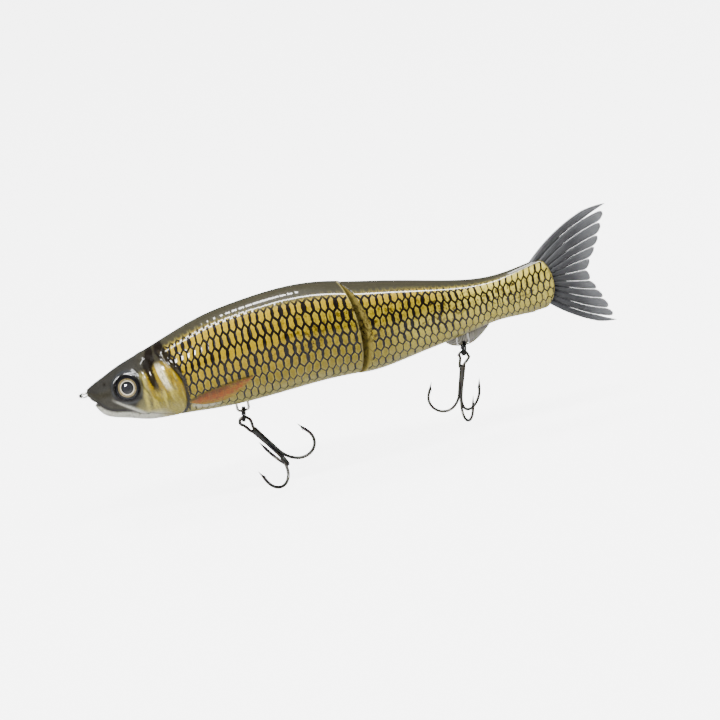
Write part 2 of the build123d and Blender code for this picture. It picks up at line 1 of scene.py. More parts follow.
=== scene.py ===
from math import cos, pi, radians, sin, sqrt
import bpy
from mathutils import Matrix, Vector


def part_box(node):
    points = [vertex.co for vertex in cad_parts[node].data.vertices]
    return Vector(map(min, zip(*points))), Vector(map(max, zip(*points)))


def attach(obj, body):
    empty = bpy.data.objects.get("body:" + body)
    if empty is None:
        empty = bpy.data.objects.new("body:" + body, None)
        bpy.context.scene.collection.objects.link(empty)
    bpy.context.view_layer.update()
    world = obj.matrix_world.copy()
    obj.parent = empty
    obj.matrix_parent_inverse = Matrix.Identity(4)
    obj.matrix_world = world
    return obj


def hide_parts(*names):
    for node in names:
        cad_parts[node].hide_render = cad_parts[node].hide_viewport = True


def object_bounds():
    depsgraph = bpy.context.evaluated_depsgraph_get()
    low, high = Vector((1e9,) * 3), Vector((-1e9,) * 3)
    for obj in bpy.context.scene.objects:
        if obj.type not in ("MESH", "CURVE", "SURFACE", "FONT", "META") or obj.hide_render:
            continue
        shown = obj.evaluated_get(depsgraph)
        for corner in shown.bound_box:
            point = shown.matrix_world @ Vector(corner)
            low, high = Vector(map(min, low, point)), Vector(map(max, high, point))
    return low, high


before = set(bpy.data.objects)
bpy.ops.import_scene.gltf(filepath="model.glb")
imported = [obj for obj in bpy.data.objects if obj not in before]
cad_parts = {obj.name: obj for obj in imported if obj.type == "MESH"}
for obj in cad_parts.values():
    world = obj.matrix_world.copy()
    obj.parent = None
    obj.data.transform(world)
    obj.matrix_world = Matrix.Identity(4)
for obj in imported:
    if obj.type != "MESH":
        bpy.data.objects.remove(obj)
cad_low, cad_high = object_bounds()

# Looks of a single-jointed swimbait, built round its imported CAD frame. The origin is the line
# tie at the nose, +X runs aft, +Z is up, and the left side faces -Y. Body sizes are worked out
# in millimetres, and MM takes them into the frame's metres.
from types import SimpleNamespace

import bmesh
import bpy
import numpy as np
from mathutils import Matrix, Vector
from numpy.linalg import norm

MM = 0.001

# ---- driving dimensions

# Elliptical sections of the body: x, top of the back, bottom of the belly, half width
FRONT_SECTIONS = [
    (1.8, 2.4, -1.5, 1.7), (4.4, 3.9, -7.6, 3.7), (8.5, 5.8, -11.7, 5.8), (15, 8.9, -13.7, 8),
    (24, 12.2, -16.3, 10.2), (38, 17.3, -17.3, 12.2), (54, 22.8, -18.3, 13.3),
    (72, 26.2, -18.3, 13.9), (90, 27.8, -17.2, 14.1), (106, 27, -16.5, 13.8),
    (122, 23.6, -17, 13.3)]
REAR_SECTIONS = [
    (112, 25.6, -16.4, 13.6), (122, 23.5, -17.1, 13.3), (134, 21.1, -15.8, 12.3),
    (147, 18.2, -13.4, 10.8), (160, 15.2, -11.2, 9.1), (171, 13.2, -9, 7.6),
    (181, 12.7, -7.4, 6.4), (191, 13.9, -7.4, 5.4), (199, 15.4, -7, 4.6),
    (208, 16.6, -6, 3.9)]
PIVOT_X = 120.5
NOSE_RADIUS, NOSE_ANGLE = 4.6, 38        # rounded front of the rear section
SOCKET_RADIUS, SOCKET_ANGLE = 5.3, 20    # hollow in the back of the front section
SLOT_HEIGHTS = (14, -6)                # slots for the two joint eyes
SLOT_RADIUS, SLOT_HALF_HEIGHT = 3.1, 1.25
REAR_END_X, REAR_END_RADIUS, REAR_END_Z = 206.4, 18, 4.4

EYE_CENTRE = np.array((18.7, -8.6, 2.25))
EYE_AXIS = np.array((-0.24, -0.92, 0.28)) / norm((-0.24, -0.92, 0.28))
EYE_RADIUS = 5

# Lines of the head and the pectoral fin in side view: x and z
HEAD_LINES = {
    "gill": [(34.2, 14.2), (35.6, 12.5), (36.6, 10), (38.4, 7.3), (40.3, 4), (41.6, 0.6),
             (42.1, -3.5), (42, -7.5), (41, -11.6), (38.5, -14.6), (35, -16.5)],
    "cheek": [(28.6, 13), (27.5, 11), (27.1, 9), (27.5, 6.6), (28, 4), (28.7, 1),
              (29.6, -2.5), (30.4, -6)],
    "crease": [(25.6, 8.2), (24.9, 6), (24.6, 3), (25.4, 0), (26.7, -2.4), (27, -5.6),
               (25.6, -9.6)],
    "jaw_bone": [(10.6, -1), (13.8, -2.6), (17, -4.8), (20.1, -6.8), (22.6, -8.5), (25.2, -10.6)],
    "lip": [(5, -4.4), (6.8, -6), (9.6, -7.8), (14, -8.8), (18, -9.4), (21.6, -10.7),
            (25, -11.4)],
    "throat": [(25.6, -11), (30.6, -13), (36, -14.4)],
    "fin_top": [(42.6, -9.6), (49.2, -6.4), (56.5, -4.9), (63.7, -3.7), (72, -2.9)],
    "fin_bottom": [(42.6, -9.6), (47, -11.6), (53, -12.6), (60, -11.5), (66, -8),
                   (72, -2.9)],
}
MOUTH_OPENING = [(0, -1.4), (5.7, -3.6), (6.5, -5.2), (0, -6.1)]
NOSTRIL = (9.4, 4.2)
FIN_ROOT_X, FIN_RAY_SPACING, FIN_RAY_SPREAD = 43, 1.15, 0.1

# Scale lattice: length along the body and row height, by distance from the nose
SCALE_LENGTH = [(0, 2.7), (35, 2.85), (60, 3.15), (90, 3.3), (120, 3.25), (150, 3), (206, 2.55)]
ROW_HEIGHT = [(0, 4.6), (35, 4.9), (60, 5.4), (95, 5.5), (125, 5.1), (160, 4.6), (206, 4)]
SIDE_SHARE = 0.61          # share of a row's height taken by a scale's upright sides
SLANT = 2 * (1 - SIDE_SHARE)
SCALE_SIZE = 3.5           # millimetres to one step of the lattice, for widths of its lines
RELIEF = 0.12              # height of a scale's crown over its edges

# The display pose and the camera: turned to the nose, looking down, lure pitched nose down
CAMERA_AZIMUTH, CAMERA_ELEVATION, LURE_PITCH = radians(-8), radians(20), radians(10.5)
CAMERA_DISTANCE, CAMERA_LENS = 0.9, 105.9
CAMERA_SIDESTEP, CAMERA_RISE = 0.1171, 0.015


# ---- curves and shapes

class SmoothCurve:
    """Natural cubic spline through knots."""

    def __init__(self, knots, values):
        x, y = np.asarray(knots, float), np.asarray(values, float)
        gaps = np.diff(x)
        slopes = np.diff(y) / gaps
        matrix, right = np.eye(len(x)), np.zeros(len(x))
        for i in range(1, len(x) - 1):
            matrix[i, i - 1:i + 2] = gaps[i - 1], 2 * (gaps[i - 1] + gaps[i]), gaps[i]
            right[i] = 6 * (slopes[i] - slopes[i - 1])
        self.x, self.y, self.bend = x, y, np.linalg.solve(matrix, right)

    def __call__(self, at):
        i = np.clip(np.searchsorted(self.x, at) - 1, 0, len(self.x) - 2)
        gap = self.x[i + 1] - self.x[i]
        left, right = (self.x[i + 1] - at) / gap, (at - self.x[i]) / gap
        bowed = (left**3 - left) * self.bend[i] + (right**3 - right) * self.bend[i + 1]
        return left * self.y[i] + right * self.y[i + 1] + bowed * gap**2 / 6


def smooth(low, high, value):
    """Smooth step from 0 at low to 1 at high; low may be the larger."""
    f = np.clip((value - low) / (high - low), 0, 1)
    return f * f * (3 - 2 * f)


def between(value, low, full, fall, high):
    """Rises from 0 at low to 1 at full and falls from 1 at fall to 0 at high."""
    return smooth(low, full, value) * smooth(high, fall, value)


def bump(value, width):
    """Bell of height 1 at 0."""
    return np.exp(-(value / width)**2)


def smooth_path(points, count=60):
    """Evenly spaced points along a smooth path through the given ones."""
    points = np.asarray(points, float)
    steps = norm(np.diff(points, axis=0), axis=1)
    along = np.concatenate(([0], np.cumsum(steps)))
    at = np.linspace(0, along[-1], count)
    return np.stack([SmoothCurve(along, points[:, k])(at) for k in range(points.shape[1])], axis=1)


def beside_path(x, z, points):
    """Signed distance from a path in side view, positive on its left, and how far along it is."""
    path = smooth_path(points)
    nearest = np.full(x.shape, 1e9)
    signed, share = np.zeros(x.shape), np.zeros(x.shape)
    for i, (start, step) in enumerate(zip(path[:-1], np.diff(path, axis=0))):
        f = np.clip(((x - start[0]) * step[0] + (z - start[1]) * step[1]) / (step @ step), 0, 1)
        off_x, off_z = x - start[0] - f * step[0], z - start[1] - f * step[1]
        distance = np.hypot(off_x, off_z)
        closer = distance < nearest
        side = np.where(step[0] * off_z - step[1] * off_x >= 0, 1, -1)
        nearest = np.where(closer, distance, nearest)
        signed = np.where(closer, distance * side, signed)
        share = np.where(closer, (i + f) / (len(path) - 1), share)
    return signed, share


def head_lines(x, z):
    """For each line of the head, the signed distance from it and how far along it is."""
    found = {name: beside_path(x, z, points) for name, points in HEAD_LINES.items()}
    side = SimpleNamespace(**{name: pair[0] for name, pair in found.items()})
    along = SimpleNamespace(**{name: pair[1] for name, pair in found.items()})
    return side, along


def value_noise(u, v, seed):
    """Smooth noise from -1 to 1 with a grid of 1."""
    size = 64
    table = np.random.default_rng(seed).uniform(-1, 1, (size, size))
    i, j = np.floor(u).astype(int), np.floor(v).astype(int)
    fu, fv = smooth(0, 1, u - i), smooth(0, 1, v - j)
    corners = [[table[(i + a) % size, (j + b) % size] for a in (0, 1)] for b in (0, 1)]
    near, far = (low * (1 - fu) + high * fu for low, high in corners)
    return near * (1 - fv) + far * fv


def share_noise(u, v, seed):
    """The same noise from 0 to 1."""
    return 0.5 + 0.5 * value_noise(u, v, seed)


def wedge_x(reach, radius, angle):
    """Distance aft of a rounded V about the pivot, at a reach from the mid plane."""
    turn = radians(angle)
    flat = PIVOT_X - (radius - reach * sin(turn)) / cos(turn)
    round_part = PIVOT_X - np.sqrt(np.maximum(radius**2 - reach**2, 0))
    return np.where(reach < radius * sin(turn), round_part, flat)


class Body:
    """The outer form of one section, from its elliptical stations."""

    def __init__(self, sections):
        x, top, bottom, half = np.array(sections).T
        self.top, self.bottom, self.half = (SmoothCurve(x, v) for v in (top, bottom, half))

    def sizes(self, x):
        """Centre height, half height and half width."""
        top, bottom = self.top(x), self.bottom(x)
        return (top + bottom) / 2, (top - bottom) / 2, self.half(x)

    def point(self, x, turn):
        """Point of the left side; turn is 0 at the back and pi at the belly."""
        centre, height, half = self.sizes(x)
        return np.stack([x, -half * np.sin(turn), centre + height * np.cos(turn)], axis=-1)

    def settle(self, turn, start, find_x):
        """Where the form's lines meet an end face, given that face's x from y and z."""
        x = np.full(turn.shape, float(start))
        for _ in range(12):
            place = self.point(x, turn)
            x = find_x(-place[:, 1], place[:, 2])
        return x


def column_turns(count):
    """Angles down the left side, a little closer together on the flank."""
    even = np.linspace(0, pi, count)
    return even + 0.12 * np.sin(2 * even)


def stretch_rows(rows, meet, ends, straight):
    """Rows of x, straight up to one place and then drawn out or in to reach each column's end."""
    share = np.clip((rows[:, None] - straight) / (meet - straight), 0, 1)
    return np.where(share > 0, straight + share * (ends[None, :] - straight), rows[:, None])


# ---- scales

def scale_place(x, turn, body):
    """Lattice coordinates (scales aft of the nose, rows above mid flank)."""
    along = np.linspace(0, 230, 461)
    pitch = SmoothCurve(*zip(*SCALE_LENGTH))(along)
    count = np.concatenate(([0], np.cumsum(np.diff(along) / pitch[:-1])))
    u = np.interp(x, along, count)
    _, height, half = body.sizes(x)
    speed = np.hypot(half * np.cos(turn), height * np.sin(turn))
    step = np.diff(turn, axis=1) * (speed[:, 1:] + speed[:, :-1]) / 2
    arc = np.concatenate((np.zeros((len(x), 1)), np.cumsum(step, axis=1)), axis=1)
    middle = np.argmin(np.abs(turn[0] - pi / 2))
    v = (arc[:, middle:middle + 1] - arc) / SmoothCurve(*zip(*ROW_HEIGHT))(x)
    shift_u = 0.15 * value_noise(u / 1.9, v / 1.4, 3) + 0.3 * value_noise(u / 7, v / 3, 4)
    shift_v = 0.1 * value_noise(u / 2.3, v / 1.7, 5) + 0.22 * value_noise(u / 8, v / 3, 6)
    return u + shift_u, v + shift_v


def scale_edges(u, v):
    """Distance in mm from the nearest upright edge and from the nearest slanted edge."""
    across = np.abs((u + 0.5) % 1 - 0.5), np.abs(u % 1 - 0.5)
    up = 2 * np.abs((v / 2 + 0.5) % 1 - 0.5), 2 * np.abs((v / 2) % 1 - 0.5)
    reach = [up[k] + SLANT * across[k] for k in (0, 1)]
    upright = 0.5 - np.where(reach[0] < reach[1], *across)
    slanted = 1 - SIDE_SHARE / 2 - np.minimum(*reach)
    return upright * SCALE_SIZE, slanted * SCALE_SIZE


def scale_relief(u, v):
    """Low crowns with sunk edges."""
    upright, slanted = scale_edges(u, v)
    inside = np.minimum(upright - 0.1, slanted)
    return RELIEF * (smooth(0, 0.9, inside) - 0.5)


# ---- paint, mixed on the mesh

OLIVE_BACK = (0.032, 0.029, 0.017)
DARK_SNOUT = (0.012, 0.011, 0.01)
GOLD = (0.33, 0.215, 0.0005)
HEAD_GOLD = (0.2475, 0.16125, 0.000375)
KHAKI = (0.22, 0.163, 0.004)
BELLY = (0.34, 0.3, 0.085)
JAW_WHITE = (0.6, 0.59, 0.5)
SNOUT_GREY = (0.0205, 0.0195, 0.0165)
EYE_RING = (0.022, 0.024, 0.027)
CHEEK = (0.13, 0.115, 0.05)
CHEEK_DARK = (0.0325, 0.02875, 0.0125)
FIN_ORANGE = (0.3, 0.07, 0.001)
FIN_BROWN = (0.11, 0.032, 0.004)
# colour of printed lines, also used for painted shade on the head
INK_AND_SHADE = (0.0035, 0.002, 0.0008)
# painted light: the joint bevel's colour is brightened to make up for the front section's shade on
# it
LIT_BEVEL = (0.23, 0.18, 0.045)
RIM = (0.26, 0.22, 0.07)
PALE_GOLD = (0.55, 0.455, 0.08)
# painted highlight: colour of the bright streak down the gill cover
FOIL_HIGHLIGHT = (0.88, 0.8, 0.5)


def blend(colour, other, share):
    """Colours mixed by a share for each vertex."""
    return colour * (1 - share[..., None]) + np.asarray(other) * share[..., None]


def painted(x, ground, layers):
    """A ground colour with layers of (colour, share) over it."""
    colour = np.zeros(x.shape + (3,)) + np.array(ground)
    for other, share in layers:
        colour = blend(colour, other, share)
    return colour


def flank_paint(x, turn):
    """Colour and scale strengths common to both sections."""
    angle = np.degrees(turn)
    back_edge = SmoothCurve((30, 60, 95, 125, 166, 206), (22, 24, 31, 27, 24, 20))(x)
    mellow = smooth(80, 118, x) * smooth(40, 60, angle)
    aft_low = smooth(122, 150, x) * smooth(60, 96, angle)
    colour = painted(x, GOLD, [
        (KHAKI, 0.75 * mellow),
        (KHAKI, 0.7 * smooth(82, 122, angle)),
        (PALE_GOLD, np.maximum(0.95 * smooth(146, 178, x), 0.75 * aft_low)),
        (BELLY, smooth(120, 150, angle)),
        (OLIVE_BACK, 1 - smooth(back_edge, back_edge + 11, angle))])
    rows_in = smooth(back_edge, back_edge + 12, angle)
    above_belly = 1 - smooth(140, 158, angle)
    aft_fade = 1 - 0.35 * smooth(150, 185, x)
    crowns = np.maximum(0.6 * smooth(9, 16, angle) * smooth(104, 90, x), smooth(36, 46, angle))
    marks = {
        "Bars": (0.45 + 0.55 * rows_in) * (1 - 0.55 * smooth(90, 124, angle)) * aft_fade,
        "Scaled": smooth(back_edge - 6, back_edge + 8, angle) * above_belly,
        "Slants": (0.6 + 0.4 * rows_in) * (1 - 0.72 * smooth(92, 124, angle)) * aft_fade,
        "Crowns": crowns * above_belly,
        "Mottle": smooth(60, 105, x) * smooth(38, 55, angle) * (1 - smooth(88, 112, angle)),
        "Ink": np.zeros(x.shape),
    }
    return colour, marks


def head_skin(x, z, angle, side, along):
    """Colour of the head ahead of the gill edge, with painted highlights: a bright streak and sheen
    on the folds of the gill cover, and a streak along the jaw bone.
    """
    folds = share_noise(x * 1.1 + z * 0.12, z * 0.22 + x * 0.05, 21)
    fine = share_noise(x * 2.6 + z * 0.5, z * 0.9, 22)
    # foil is a painted highlight, a bright streak down the gill cover where a light's glint falls
    highlight_x = 35.7 - 0.27 * z + 0.7 * (folds - 0.5)
    foil = smooth(1.5, 0.7, np.abs(x - highlight_x)) * between(z, -2.5, 2, 9.5, 11.2)
    # a darker mottled patch aft of the gill cover's bulge
    dark_patch = bump(np.hypot(x - 38.6, (z - 2.2) / 1.3), 1.7) * smooth(0.25, 0.6, fine)
    crown = smooth(60, 42, angle - 0.7 * np.maximum(24 - x, 0))
    nape = smooth(9.5, 11.2, z) * smooth(28.5, 30, x)
    upper_lip = smooth(2.4, 1.4, side.lip) * smooth(-0.1, 0.2, side.lip) * smooth(25, 21, x)
    # painted highlight: a white streak along the raised jaw bone
    jaw_highlight = bump(side.jaw_bone + 0.9, 0.75) * smooth(0.02, 0.3, along.jaw_bone)
    chin = smooth(0.1, -0.4, side.lip) * smooth(-4.4, -5.2, z) * smooth(32, 24, x)
    throat = smooth(118, 140, angle) * smooth(36, 26, x)
    return painted(x, HEAD_GOLD, [
        (KHAKI, smooth(2, -6, z)),
        # painted sheen: pale streaks where folds is high; the foil layer below is the painted
        # highlight streak
        (PALE_GOLD, 0.75 * smooth(0.45, 0.85, folds) * smooth(9, 6, z)),
        (FOIL_HIGHLIGHT, 0.9 * foil),
        (CHEEK_DARK, 0.85 * dark_patch),
        (CHEEK, 0.6 * smooth(0.55, 0.85, fine)),
        (CHEEK, smooth(28.5, 26.5, x)),
        (PALE_GOLD, 0.7 * bump(x - 25.9 - 0.02 * z, 0.9) * smooth(9, 6, z)),
        (BELLY, 0.6 * smooth(100, 128, angle)),
        (DARK_SNOUT, 0.9 * smooth(25, 22, x + 0.5 * np.maximum(-z - 2, 0))),
        (OLIVE_BACK, np.maximum(crown, nape)),
        (SNOUT_GREY, crown * smooth(36, 20, x)),
        (DARK_SNOUT, 0.85 * upper_lip),
        (JAW_WHITE, 0.9 * jaw_highlight),
        (JAW_WHITE, np.maximum(chin, throat)),
        (CHEEK, 0.45 * chin * smooth(0.6, 0.9, fine))])


def gill_ink_and_shade(x, z, side, along):
    """Black band aft of the gill cover's edge, partly its printed gill line and partly painted shade
    under the raised cover, and the blotch where it meets the back.
    """
    ragged = share_noise(x * 2.1, z * 1.7, 23)
    width = 1.9 - 1.1 * smooth(0.1, 0.6, along.gill) + 0.7 * (ragged - 0.5)
    off_line = np.abs(side.gill + 1.6 * smooth(0.16, 0.06, along.gill) - 0.15 - width)
    # edge is partly painted shade under the raised gill cover's step
    edge = smooth(width + 0.5, width - 0.5, off_line) * smooth(1, 0.85, along.gill)
    shoulder = smooth(2.4, 1.5, np.abs(side.gill - 1.9) + ragged) * smooth(0.24, 0.14, along.gill)
    return np.maximum(0.99 * edge * (0.95 + 0.05 * ragged), 0.985 * shoulder)


def head_ink_and_shade(x, z, turn, head, side, along):
    """Dark lines and patches of the head and the gill edge, with painted shade in the trench behind
    the cheek plate and aft of the gill cover.
    """
    ragged = share_noise(x * 2.1, z * 1.7, 23)
    # painted shade: a black band in the trench between the cheek plate and the gill cover
    width = 2.2 - 1.2 * along.cheek + 0.7 * (ragged - 0.5)
    trench_shade = smooth(width + 0.4, width - 0.5, np.abs(side.cheek - 1.9))
    nape = between(z, 8.3, 10.5, 13, 15) * smooth(29, 30.5, x) * smooth(0.4, -0.6, side.gill)
    under_eye = bump(z + 2.6 + 0.05 * (x - 18), 1) * between(x, 11, 13, 23.5, 25)
    crease = bump(side.crease - 0.9, 0.45) * smooth(1, 0.7, along.crease)
    marks = [
        gill_ink_and_shade(x, z, side, along),
        0.97 * trench_shade * smooth(0.95, 0.62, along.cheek),
        0.25 * nape,
        0.8 * under_eye,
        0.97 * bump(side.lip - 0.1, 0.55) * smooth(4.2, 5.2, x),
        bump(np.hypot(x - NOSTRIL[0], z - NOSTRIL[1]), 0.55),
        0.94 * smooth(6.4, 5.8, eye_distance(x, turn)),
        0.5 * bump(side.throat, 0.35) * head,
        0.55 * crease * head,
    ]
    return np.maximum.reduce(marks)


def fin_rays(x, side):
    """Height from 0 to 1 of the pectoral fin's rays."""
    across = side.fin_top + FIN_RAY_SPREAD * (x - FIN_ROOT_X)
    return 0.5 + 0.5 * np.cos(2 * pi * across / FIN_RAY_SPACING)


def fin_paint(x, z, side, along):
    """Pectoral fin in low relief: its colour, its area and its dark upper line."""
    above, below = side.fin_top, side.fin_bottom
    fin = smooth(0.25, -0.25, above) * smooth(-0.25, 0.25, below) * smooth(42.6, 44, x)
    spread = np.clip(-above / (np.clip(-above, 0, None) + np.clip(below, 0.01, None)), 0, 1)
    speckle = share_noise(x * 2.4, z * 2.4, 24)
    aft_specks = 0.8 * smooth(56, 66, x) * smooth(0.55, 0.8, speckle)
    colour = painted(x, FIN_ORANGE, [
        (FIN_BROWN, smooth(0.5, 0.12, spread + 0.25 * (speckle - 0.5))),
        (GOLD, 0.8 * smooth(0.62, 0.9, spread + 0.3 * (speckle - 0.5))),
        (KHAKI, aft_specks + 0.5 * smooth(47, 43, x)),
        (FIN_BROWN, 0.35 * smooth(0.5, 0.9, fin_rays(x, side)))])
    line = bump(above - 0.15, 0.36) * smooth(0, 0.04, along.fin_top)
    return colour, fin, line * smooth(1, 0.97, along.fin_top)


def paint_front(x, z, turn, rim, side, along):
    """Colour and marks of the front section; rim is the distance to its aft edge."""
    colour, marks = flank_paint(x, turn)
    head = smooth(0.4, -0.4, side.gill) * smooth(46, 38, x)
    eye_ring = bump(eye_distance(x, turn) - 6.6, 0.8)
    skin = head_skin(x, z, np.degrees(turn), side, along)
    colour = blend(colour, blend(skin, EYE_RING, 0.85 * eye_ring), head)
    fin_colour, fin, fin_line = fin_paint(x, z, side, along)
    colour = blend(colour, fin_colour, fin)
    pale_patch = bump(side.fin_bottom + 1, 1.4) * between(x, 43, 45, 52, 58) * (1 - fin)
    colour = blend(colour, JAW_WHITE, 0.7 * pale_patch)
    # ink holds the head's printed lines together with painted shade in the cheek trench and aft of
    # the gill cover
    ink = head_ink_and_shade(x, z, turn, head, side, along)
    marks["Ink"] = np.clip(np.maximum(ink, 0.92 * fin_line), 0, 1)
    body = np.clip(smooth(1, 2.2, side.gill) + smooth(44, 47, x), 0, 1)
    edge = smooth(0.9, 0.3, rim)
    marks["Scaled"] *= body * (1 - 0.85 * fin) * (1 - 0.7 * pale_patch) * (1 - edge)
    marks["Crowns"] *= body * (1 - fin)
    return blend(colour, RIM, edge), marks


def paint_rear(x, turn, rear_edge):
    """Colour and marks of the rear section; rear_edge is the distance to its aft edge."""
    colour, marks = flank_paint(x, turn)
    edge = smooth(0.8, 0.2, rear_edge)
    marks["Scaled"] *= 1 - edge
    return blend(colour, RIM, 0.7 * edge), marks


# ---- relief of the head

def eye_distance(x, turn):
    """Distance of a flank point from the eye's axis."""
    away = FRONT_BODY.point(x, turn) - EYE_CENTRE
    height = away @ EYE_AXIS
    return norm(away - height[..., None] * EYE_AXIS, axis=-1)


def head_relief(x, z, side, along):
    """Height in mm of the gill cover, cheek, jaw and fin over the plain form."""
    ends = between(along.gill, 0, 0.12, 0.88, 1)
    height = 0.75 * smooth(0.4, -0.4, side.gill) * smooth(-8, -1, side.gill) * ends
    height -= 0.4 * bump(side.gill - 0.9, 0.8) * ends
    ends = between(along.cheek, 0, 0.1, 0.8, 1)
    height += 0.35 * smooth(0.3, -0.3, side.cheek) * smooth(-4, -0.6, side.cheek) * ends
    height -= 0.5 * bump(side.cheek - 1.8, 1.6) * ends
    ends = between(along.crease, 0, 0.12, 0.88, 1)
    height += (0.36 * bump(side.crease, 0.6) - 0.28 * bump(side.crease - 1.1, 0.6)) * ends
    height += 0.45 * bump(np.hypot(x - 35.6, (z - 2.5) / 1.9), 3.4)
    height += 0.42 * bump(side.jaw_bone + 0.75, 0.75) * smooth(0, 0.3, along.jaw_bone)
    height -= 0.6 * bump(side.lip, 0.38)
    height += 0.28 * between(side.lip, 0, 0.4, 0.6, 3.5) * smooth(26, 22, x)
    height -= 0.25 * bump(side.throat, 0.4) * smooth(1, 0.85, along.throat)
    wrinkled = smooth(30, 33, x) * smooth(0, -3, z) * smooth(2, -1.5, side.gill)
    height += 0.16 * value_noise(x * 0.8, z * 0.35 + x * 0.25, 8) * wrinkled
    fin = smooth(0.3, -0.3, side.fin_top) * smooth(-0.5, 0.6, side.fin_bottom)
    height += fin * (0.32 + 0.08 * fin_rays(x, side))
    ends = between(along.fin_top, 0, 0.06, 0.9, 1)
    return height - 0.2 * bump(side.fin_top - 0.55, 0.4) * ends


SEAT_DEPTH, RIM_HEIGHT, BROW_HEIGHT, TRENCH_DEPTH = 0.75, 0.12, 0.48, 0.22


def seat_eye(points):
    """Press the eye's seat into the head and raise the ring round it."""
    away = points - EYE_CENTRE
    height = away @ EYE_AXIS
    flat = away - height[..., None] * EYE_AXIS
    distance = norm(flat, axis=-1)
    near = (height > -4) & (distance < 9)
    level = (RIM_HEIGHT - height) * smooth(7.4, 5.3, distance)
    brow = BROW_HEIGHT * (0.25 + 0.75 * smooth(-2.5, 3, flat[..., 2])) * bump(distance - 6.6, 0.6)
    trench = TRENCH_DEPTH * bump(distance - 5.75, 0.35)
    rise = np.where(distance < EYE_RADIUS, -SEAT_DEPTH - height, level + brow - trench)
    return points + np.where(near, rise, 0)[..., None] * EYE_AXIS


def open_mouth(points):
    """Push the front of the head back to the walls of the mouth's opening, and give how deep each
    point lies in it, for painted shade there.
    """
    depths, heights = zip(*MOUTH_OPENING[::-1])
    wall = np.interp(points[..., 2], heights, depths)
    opened = points.copy()
    opened[..., 0] = np.maximum(points[..., 0], wall)
    return opened, smooth(0.1, 0.8, wall - points[..., 0])


# ---- skins

FRONT_BODY, REAR_BODY = Body(FRONT_SECTIONS), Body(REAR_SECTIONS)
FRONT_COLUMNS, REAR_COLUMNS = 105, 91

# Rows of the skins: spans as first, last and step, with single rows packed near the rims
FRONT_SPANS = [(1.8, 6.9, 0.075), (6.9, 46, 0.31), (46, 118.4, 0.36)]
FRONT_LAST_ROWS = (118.6, 118.8, 118.95, 119.1, 119.2)
REAR_FIRST_ROWS = (0, 0.12, 0.25, 0.4, 0.6)
REAR_SPAN = (0.85, 88.4, 0.33)
REAR_LAST_ROWS = (88.6, 88.8, 88.95, 89.1, 89.2)
STRAIGHT_TO_X = 100                # the front skin's rows are flat up to here
NOSE_TIP_RINGS, NOSE_TIP_DEPTH = 7, 0.6
SOCKET_RINGS, REAR_NOSE_RINGS, REAR_END_RINGS = 14, 24, 12
BEVEL_SCALE_LENGTH = 4.4           # length of the printed scales across the rear section's bevel


def surface_normals(points):
    """Outward normals of a left-side grid of rows (aft) and columns (down the flank)."""
    normals = np.cross(np.gradient(points, axis=1), np.gradient(points, axis=0))
    normals /= np.maximum(norm(normals, axis=-1, keepdims=True), 1e-9)
    normals[:, 0, 1] = 0
    normals[:, -1, 1] = 0
    return normals


def round_rim(rim, radius=0.55):
    """How far the surface turns in near an edge, by distance from it."""
    near = np.clip(1 - rim / radius, 0, 1)
    return radius * (1 - np.sqrt(1 - near**2)) * 0.8


def face_rings(rim_points, x_of, count):
    """Rings that close an end face, from its rim to the mid plane."""
    rings = []
    for share in np.linspace(0, 1, count + 1)[1:]:
        ring = rim_points.copy()
        ring[:, 1] = rim_points[:, 1] * (1 - share)
        ring[:, 0] = x_of(-ring[:, 1], ring[:, 2])
        rings.append(ring)
    return np.array(rings)


def socket_x(reach, z):
    return wedge_x(reach, SOCKET_RADIUS, SOCKET_ANGLE)


def nose_x(reach, z):
    return wedge_x(reach, NOSE_RADIUS, NOSE_ANGLE)


def slotted_nose_x(reach, z):
    """The rounded nose with its two pockets round the joint eyes."""
    x = nose_x(reach, z)
    depth = PIVOT_X + np.sqrt(np.maximum(SLOT_RADIUS**2 - reach**2, 0))
    for height in SLOT_HEIGHTS:
        pocket = (np.abs(z - height) < SLOT_HALF_HEIGHT) & (reach < SLOT_RADIUS)
        x = np.where(pocket, depth, x)
    return x


def end_x(reach, z):
    """Distance aft of the rounded end of the rear section, at a height."""
    rise = np.clip(z - REAR_END_Z, -REAR_END_RADIUS, REAR_END_RADIUS)
    return REAR_END_X - REAR_END_RADIUS + np.sqrt(REAR_END_RADIUS**2 - rise**2)


